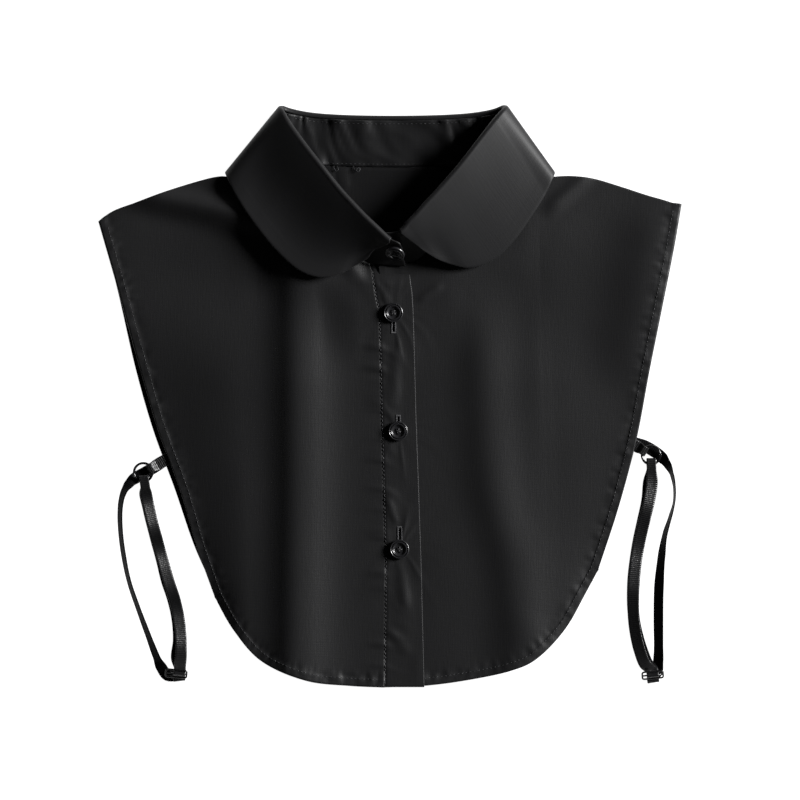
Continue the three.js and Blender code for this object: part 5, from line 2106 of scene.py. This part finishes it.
    def wire_ring(self) -> Piece:
        """Bends the ring from round wire, closed with a butt joint that is hidden in the tab.

        Returns:
            The ring.
        """
        middle = Vector((*self.ring, self.ring_height)) * MM
        bpy.ops.mesh.primitive_torus_add(
            location=middle, major_segments=72, minor_segments=16,
            major_radius=self.ring_radius * MM, minor_radius=self.ring_wire / 2 * MM,
        )
        piece = bpy.context.object
        joint = middle + Vector(direction(self.tab_turn)) * (self.ring_radius * MM)
        bpy.ops.object.mode_set(mode="EDIT")
        work = bmesh.from_edit_mesh(piece.data)
        for vert in work.verts:
            vert.select = (piece.matrix_world @ vert.co - joint).length < 0.75 * self.ring_wire * MM
        work.select_flush_mode()
        bmesh.update_edit_mesh(piece.data)
        bpy.ops.transform.resize(value=(1.0, 1.0, 0.93), center_override=joint)
        bpy.ops.object.mode_set(mode="OBJECT")
        piece.name = f"wire_ring_{self.side.word}"
        bpy.ops.object.transform_apply(location=True, rotation=True, scale=True)
        bpy.ops.object.shade_smooth()
        return piece

    def wire_slider(self) -> Piece:
        """Sets a bar across the middle of a wire frame.

        Returns:
            The slider.
        """
        frame = self.wire_frame()
        bpy.ops.mesh.primitive_cylinder_add(
            vertices=16,
            radius=0.475 * self.slider_wire * MM,
            depth=(self.slider_length - self.slider_wire) * MM,
            end_fill_type="TRIFAN",
            rotation=(0.0, math.pi / 2, 0.0),
        )
        bar = bpy.context.object
        bpy.ops.object.transform_apply(location=False, rotation=True, scale=False)
        bpy.ops.object.shade_smooth()
        turn = Matrix.Rotation(math.radians(self.slider_turn), 4, "Z")
        tilt = Matrix.Rotation(math.radians(self.slider_tilt), 4, "X")
        at = Matrix.Translation(Vector((*self.slider, self.slider_height)) * MM)
        return joined([frame, bar], f"wire_slider_{self.side.word}", at @ (turn @ tilt))

    def wire_frame(self) -> Piece:
        """Bends a round wire about the origin: four straights drawn out and four corners turned.

        Returns:
            The frame.
        """
        radius = self.corner_radius * MM
        half_x = (self.slider_length - self.slider_wire) / 2 * MM
        half_y = self.bar_pitch * MM
        bpy.ops.mesh.primitive_circle_add(
            vertices=16, radius=self.slider_wire / 2 * MM, location=(radius - half_x, -half_y, 0.0),
            rotation=(0.0, math.pi / 2, 0.0),
        )
        piece = bpy.context.object
        bpy.ops.object.transform_apply(location=True, rotation=True, scale=True)
        bpy.ops.object.mode_set(mode="EDIT")
        bpy.ops.mesh.select_all(action="SELECT")
        for quarter in range(4):
            angle = quarter * math.pi / 2
            run = Vector((math.cos(angle), math.sin(angle), 0.0))
            long, short = (half_x, half_y) if quarter % 2 == 0 else (half_y, half_x)
            bpy.ops.mesh.extrude_region_move(TRANSFORM_OT_translate={"value": run * 2 * (long - radius)})
            inward = Vector((-run.y, run.x, 0.0))
            corner = run * (long - radius) - inward * (short - radius)
            bpy.ops.mesh.spin(steps=6, angle=-math.pi / 2, center=corner, axis=(0.0, 0.0, 1.0))
        bpy.ops.mesh.select_all(action="SELECT")
        bpy.ops.mesh.remove_doubles(threshold=1e-6)
        bpy.ops.mesh.normals_make_consistent(inside=False)
        bpy.ops.object.mode_set(mode="OBJECT")
        bpy.ops.object.shade_smooth()
        return piece


RIGHT_STRAP = SideStrap(
    side=Side.RIGHT, ring=(-160.3, -49.6), tab_turn=29, tab_reach=21.5,
    slider=(-138.8, -180.2), slider_turn=-5, slider_tilt=32, strand_x=-136.7, strand_turn=86, crease=6,
    outer=tuple(StrapRow(*row) for row in (
        (-147.7, -42.5, 0), (-153.4, -46.4, 0), (-159.8, -50.2, 0),
        (-165.6, -53.4, 10), (-169.4, -57.0, 40), (-172.6, -61.6, 58),
        (-174.6, -68.0, 64), (-175.4, -77.0, 67), (-174.9, -89.0, 68),
        (-173.1, -103.0, 68), (-169.6, -120.0, 70), (-163.9, -137.0, 68),
        (-157.6, -154.0, 63), (-151.9, -169.0, 54), (-148.6, -176.2, 26),
        (-144.4, -181.4, 0),
    )),
    wide=tuple(WideRow(*row) for row in (
        (-135.9, -170.0, 2.6, 0.8), (-135.8, -158.6, 1.6, 1.2, -18),
        (-137.0, -145.6, 1.1, 0.9, -14), (-139.8, -132.6, 1.0, 0.5, 8),
        (-144.0, -119.6, 1.1, 1.0, -14), (-147.6, -106.6, 0.8, 1.4, -22),
        (-151.3, -93.6, 0.5, 0.5, 9), (-154.7, -80.6, 0.6, 1.3, -21),
        (-156.6, -72.0, 0.7, 1.3, -20), (-158.4, -63.6, 0.7, 0.5, 6),
    )),
)
LEFT_STRAP = SideStrap(
    side=Side.LEFT, ring=(169.6, -38.4), tab_turn=149, tab_reach=15,
    slider=(170.6, -181.2), slider_turn=5, slider_tilt=38, strand_x=170.6, strand_turn=97, crease=8,
    outer=tuple(StrapRow(*row) for row in (
        (159.5, -30.7, 0), (165.4, -32.5, 0), (171.4, -35.8, 0),
        (176.6, -39.8, 20), (180.3, -44.6, 52), (183.2, -51.2, 75),
        (184.8, -60.0, 82), (184.5, -69.0, 84), (181.9, -79.0, 77),
        (178.6, -90.0, 69), (176.3, -105.0, 53), (174.7, -125.0, 39),
        (174.4, -146.0, 39), (174.5, -162.0, 42), (174.3, -172.0, 34),
        (173.4, -179.0, 6),
    )),
    wide=tuple(WideRow(*row) for row in (
        (165.6, -174.0, -1.5, 1.2, 4), (162.4, -166.0, -1.5, 1.2, 12),
        (160.0, -156.6, -1.1, 1.2, 16), (158.5, -146.0, -0.3, 1.2, 16),
        (158.0, -134.0, 0.2, 1.0, 13), (158.6, -119.6, 0.5, 0.6, -7),
        (160.0, -106.6, 0.5, 1.0, -11), (162.3, -93.6, 0.6, 0.4, 3),
        (165.3, -80.6, 0.8, 0.9, 9), (168.5, -67.6, 1.4, 1.3, -13),
        (170.1, -56.6, 2.0, 1.0, -12),
    )),
)

RIGHT_FRONT = Front(
    side=Side.RIGHT, armhole=RIGHT_ARMHOLE, hem=RIGHT_HEM, shoulder=RIGHT_SHOULDER, flat=7.6,
    fall=5.6, fall_start=13.0, fall_reach=18.0, edge_rise=0.32,
    fold=LongFold(
        height=4.9, inner=21.0, outer=13.5, starts=100.0, full=74.0,
        crest=((100, -60.0), (60, -60.5), (-60, -60.5), (-190, -62.0)),
    ),
    stations=(SIDE_STATION, 1), middle_shift=0.0, lap=((0.6, 0.05), (1.1, 0.7), (2.2, 0.85)),
    creases=(
        Crease((-33.0, 91.0), (-1.0, 65.0), 7.0, 0.9, 7.0),
        Crease((-176.0, 135.0), (-66.0, 111.0), 10.0, 5.0, 11.0),
    ),
    seed=10,
)
LEFT_FRONT = Front(
    side=Side.LEFT, armhole=LEFT_ARMHOLE, hem=LEFT_HEM, shoulder=LEFT_SHOULDER, flat=6.4,
    fall=3.2, fall_start=3.0, fall_reach=20.0, edge_rise=0.5,
    fold=LongFold(
        height=2.7, inner=15.0, outer=18.0, starts=80.0, full=15.0,
        crest=((100, 60.0), (60, 61.0), (0, 61.8), (-60, 67.0), (-110, 79.0), (-190, 88.0)),
    ),
    stations=(LAST_STATION - SIDE_STATION, LAST_STATION + 1.9), middle_shift=5.4, lap=(),
    creases=(
        Crease((34.0, 72.0), (18.0, 62.0), 3.6, 0.5),
        Crease((101.0, 119.0), (131.0, 146.0), 6.0, 1.3),
        Crease((176.0, 124.0), (156.0, 10.0), 26.0, 3.0),
    ),
    seed=20,
)
PLACKET = Placket(
    creases=(
        Crease((-12.5, 78.0), (-0.7, 61.0), 3.0, 0.6),
        Crease((3.6, 36.0), (4.2, -4.0), 5.0, 0.55),
        Crease((-2.5, -66.0), (5.0, -84.0), 3.0, 0.5),
        Crease((8.0, -112.0), (10.5, -138.0), 4.0, 0.5),
        Crease((-1.0, -152.0), (13.0, -168.0), 4.2, 0.4),
    ),
)


# Studio


@dataclass
class Studio:
    """A white table, a broad light from the wearer's left, and a long lens straight above.

    Sizes are in metres and angles in degrees. Wall and ceiling are the room's brightness there, and
    far_wall_share is what is left of it on the side away from the light.
    """

    view_width: float = 0.52
    camera_height: float = 6.0
    view_centre: Point = (0.0065, -0.0026)
    key_energy: float = 420.0
    key_size: float = 1.4
    key_distance: float = 4.0
    key_elevation: float = 26.0
    key_azimuth: float = 17.0
    wall: float = 0.2
    ceiling: float = 0.02
    far_wall_share: float = 0.25

    def build(self) -> None:
        """Builds floor, lights and camera."""
        self.floor()
        self.key_light()
        self.room()
        self.camera()
        bpy.context.scene.view_settings.view_transform = "Standard"

    def floor(self) -> None:
        """Lays the white table."""
        bpy.ops.mesh.primitive_plane_add(size=6.0, location=(0, 0, -0.0006))
        table = bpy.context.object
        table.name = "acrylic_table"
        table.data.materials.append(LitAcrylic().material())

    def key_light(self) -> None:
        """Hangs a broad round light low on the wearer's left."""
        place = Vector(direction(self.key_azimuth, self.key_elevation))
        light = bpy.data.lights.new("key_light", "AREA")
        light.shape = "DISK"
        light.size = self.key_size
        light.energy = self.key_energy
        lamp = bpy.data.objects.new("key_light", light)
        lamp.location = place * self.key_distance
        lamp.rotation_euler = place.to_track_quat("Z", "Y").to_euler()
        bpy.context.scene.collection.objects.link(lamp)

    def room(self) -> None:
        """Sets a room with a dark ceiling and pale walls, paler towards the key light."""
        world = bpy.data.worlds.new("studio")
        world.use_nodes = True
        tree = world.node_tree
        tree.nodes.clear()
        way = add_node(tree, "TexCoord").outputs["Generated"]
        parts = add_node(tree, "SeparateXYZ", links={0: way})
        facing = add_node(
            tree, "VectorMath", {1: tuple(direction(self.key_azimuth))}, {0: way},
            operation="DOT_PRODUCT",
        )
        shares = [
            add_node(
                tree, "MapRange",
                {"From Min": low, "From Max": high, "To Min": at_low, "To Max": at_high},
                {"Value": value}, interpolation_type="SMOOTHSTEP",
            )
            for value, low, high, at_low, at_high in (
                (parts.outputs["Z"], 0.1, 0.75, self.wall, self.ceiling),
                (facing.outputs["Value"], -0.6, 0.5, self.far_wall_share, 1.0),
            )
        ]
        links = {place: share.outputs[0] for place, share in enumerate(shares)}
        both = add_node(tree, "Math", links=links, operation="MULTIPLY")
        colour, strength = {"Color": linear("ffffff")}, {"Strength": both.outputs[0]}
        glow = add_node(tree, "Background", colour, strength)
        tree.links.new(glow.outputs[0], add_node(tree, "OutputWorld").inputs["Surface"])
        bpy.context.scene.world = world

    def camera(self) -> None:
        """Sets the camera."""
        lens = bpy.data.cameras.new("camera")
        lens.sensor_width = 36.0
        lens.lens = lens.sensor_width * self.camera_height / self.view_width
        lens.clip_end = 50.0
        camera = bpy.data.objects.new("camera", lens)
        camera.location = (*self.view_centre, self.camera_height)
        bpy.context.scene.collection.objects.link(camera)
        bpy.context.scene.camera = camera


# Sewing


# The two loose thread ends at the foot of the band
THREAD_ENDS = (
    ((-36.6, 149.6, 3.4), (-36.0, 147.4, 4.2), (-34.6, 146.0, 4.5), (-33.6, 147.2, 4.4), (-34.2, 149.4, 3.6)),
    (
        (-24.0, 149.4, 3.4), (-22.6, 146.8, 4.3), (-20.4, 145.8, 4.6), (-19.4, 147.6, 4.4),
        (-20.8, 148.2, 4.6), (-22.0, 146.4, 4.8),
    ),
)


@dataclass
class Sewing:
    """The rows of topstitching on the bib, the neck band and the placket.

    The neck band has a row at each of the neck_rows, which are shares of its width, between two stations.
    """

    neck_rows: Point = (0.05, 0.93)
    neck_ends: Point = (11.2, 16.8)
    neck_pitch: float = 2.9
    neck_stitch: float = 1.7
    neck_thread: float = 0.28
    placket_ends: Point = (82.0, -187.0)

    def build(self, pieces: dict[str, Piece]) -> None:
        """Sews every row.

        Args:
            pieces: The pieces of cloth by their short names.
        """
        for front in (RIGHT_FRONT, LEFT_FRONT):
            word = front.side.word
            setback = (HEM_STITCH_SETBACK - HEM_WIDTH) * front.side.value
            line = inset(front.outline()[::4], setback)[3:-3]
            sew(f"hem_stitches_{word}", [stitch_row(Cloth(pieces[word]), line)], width=HEM_THREAD_WIDTH)
        self.sew_neck_band(Cloth(pieces["stand"]))
        for number, route in enumerate(THREAD_ENDS, 1):
            self.leave_thread(f"thread_end_{number}", route)
        self.sew_placket(Cloth(pieces["placket"]))

    def sew_neck_band(self, cloth: Cloth) -> None:
        """Sews the rows at the top and the foot of the band inside the neck.

        Args:
            cloth: The stand's surface.
        """
        rows = []
        for v in self.neck_rows:
            u = np.linspace(*map(SHAPE.on_stand, self.neck_ends), 160)
            line = SHAPE.stand(u, np.full_like(u, v))[:, :2]
            rows.append(stitch_row(cloth, line, self.neck_pitch))
        sew("neck_band_stitches", rows, self.neck_stitch, self.neck_thread)

    def sew_placket(self, cloth: Cloth) -> None:
        """Sews the placket's stitched side.

        Args:
            cloth: The placket's surface.
        """
        y = np.linspace(*self.placket_ends, 200)
        line = np.stack([stitched_side(y) + PLACKET_STITCH_SETBACK, y], axis=1)
        sew("placket_stitches", [stitch_row(cloth, line)])

    @staticmethod
    def leave_thread(name: str, rows: Rows) -> None:
        """Leaves a loose end of thread.

        Args:
            name: The object's name.
            rows: Points of the thread.
        """
        centres = Route(rows).at(np.linspace(0.0, 1.0, 40))
        run = unit(np.gradient(centres, axis=0))
        side = unit(np.cross(run, np.array([0.0, 0.0, 1.0])))
        axes = side * THREAD_WIDTH, np.cross(run, side) * THREAD_WIDTH
        dress(swept_object(name, centres, *axes, round_section(6)), THREAD, "sewing_thread")


# The whole collar


def main() -> None:
    """Builds the collar, piece by piece."""
    logging.basicConfig(level=logging.INFO, format="%(message)s")
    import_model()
    Studio().build()
    pieces = {
        "back": Back().build(),
        "right": RIGHT_FRONT.build(),
        "left": LEFT_FRONT.build(),
        "placket": PLACKET.build(),
        "stand": Stand().build(),
        "leaf": Leaf().build(),
    }
    Buttons().build(pieces["placket"])
    Sewing().build(pieces)
    RIGHT_STRAP.build()
    LEFT_STRAP.build()


if __name__ == "__main__":
    main()
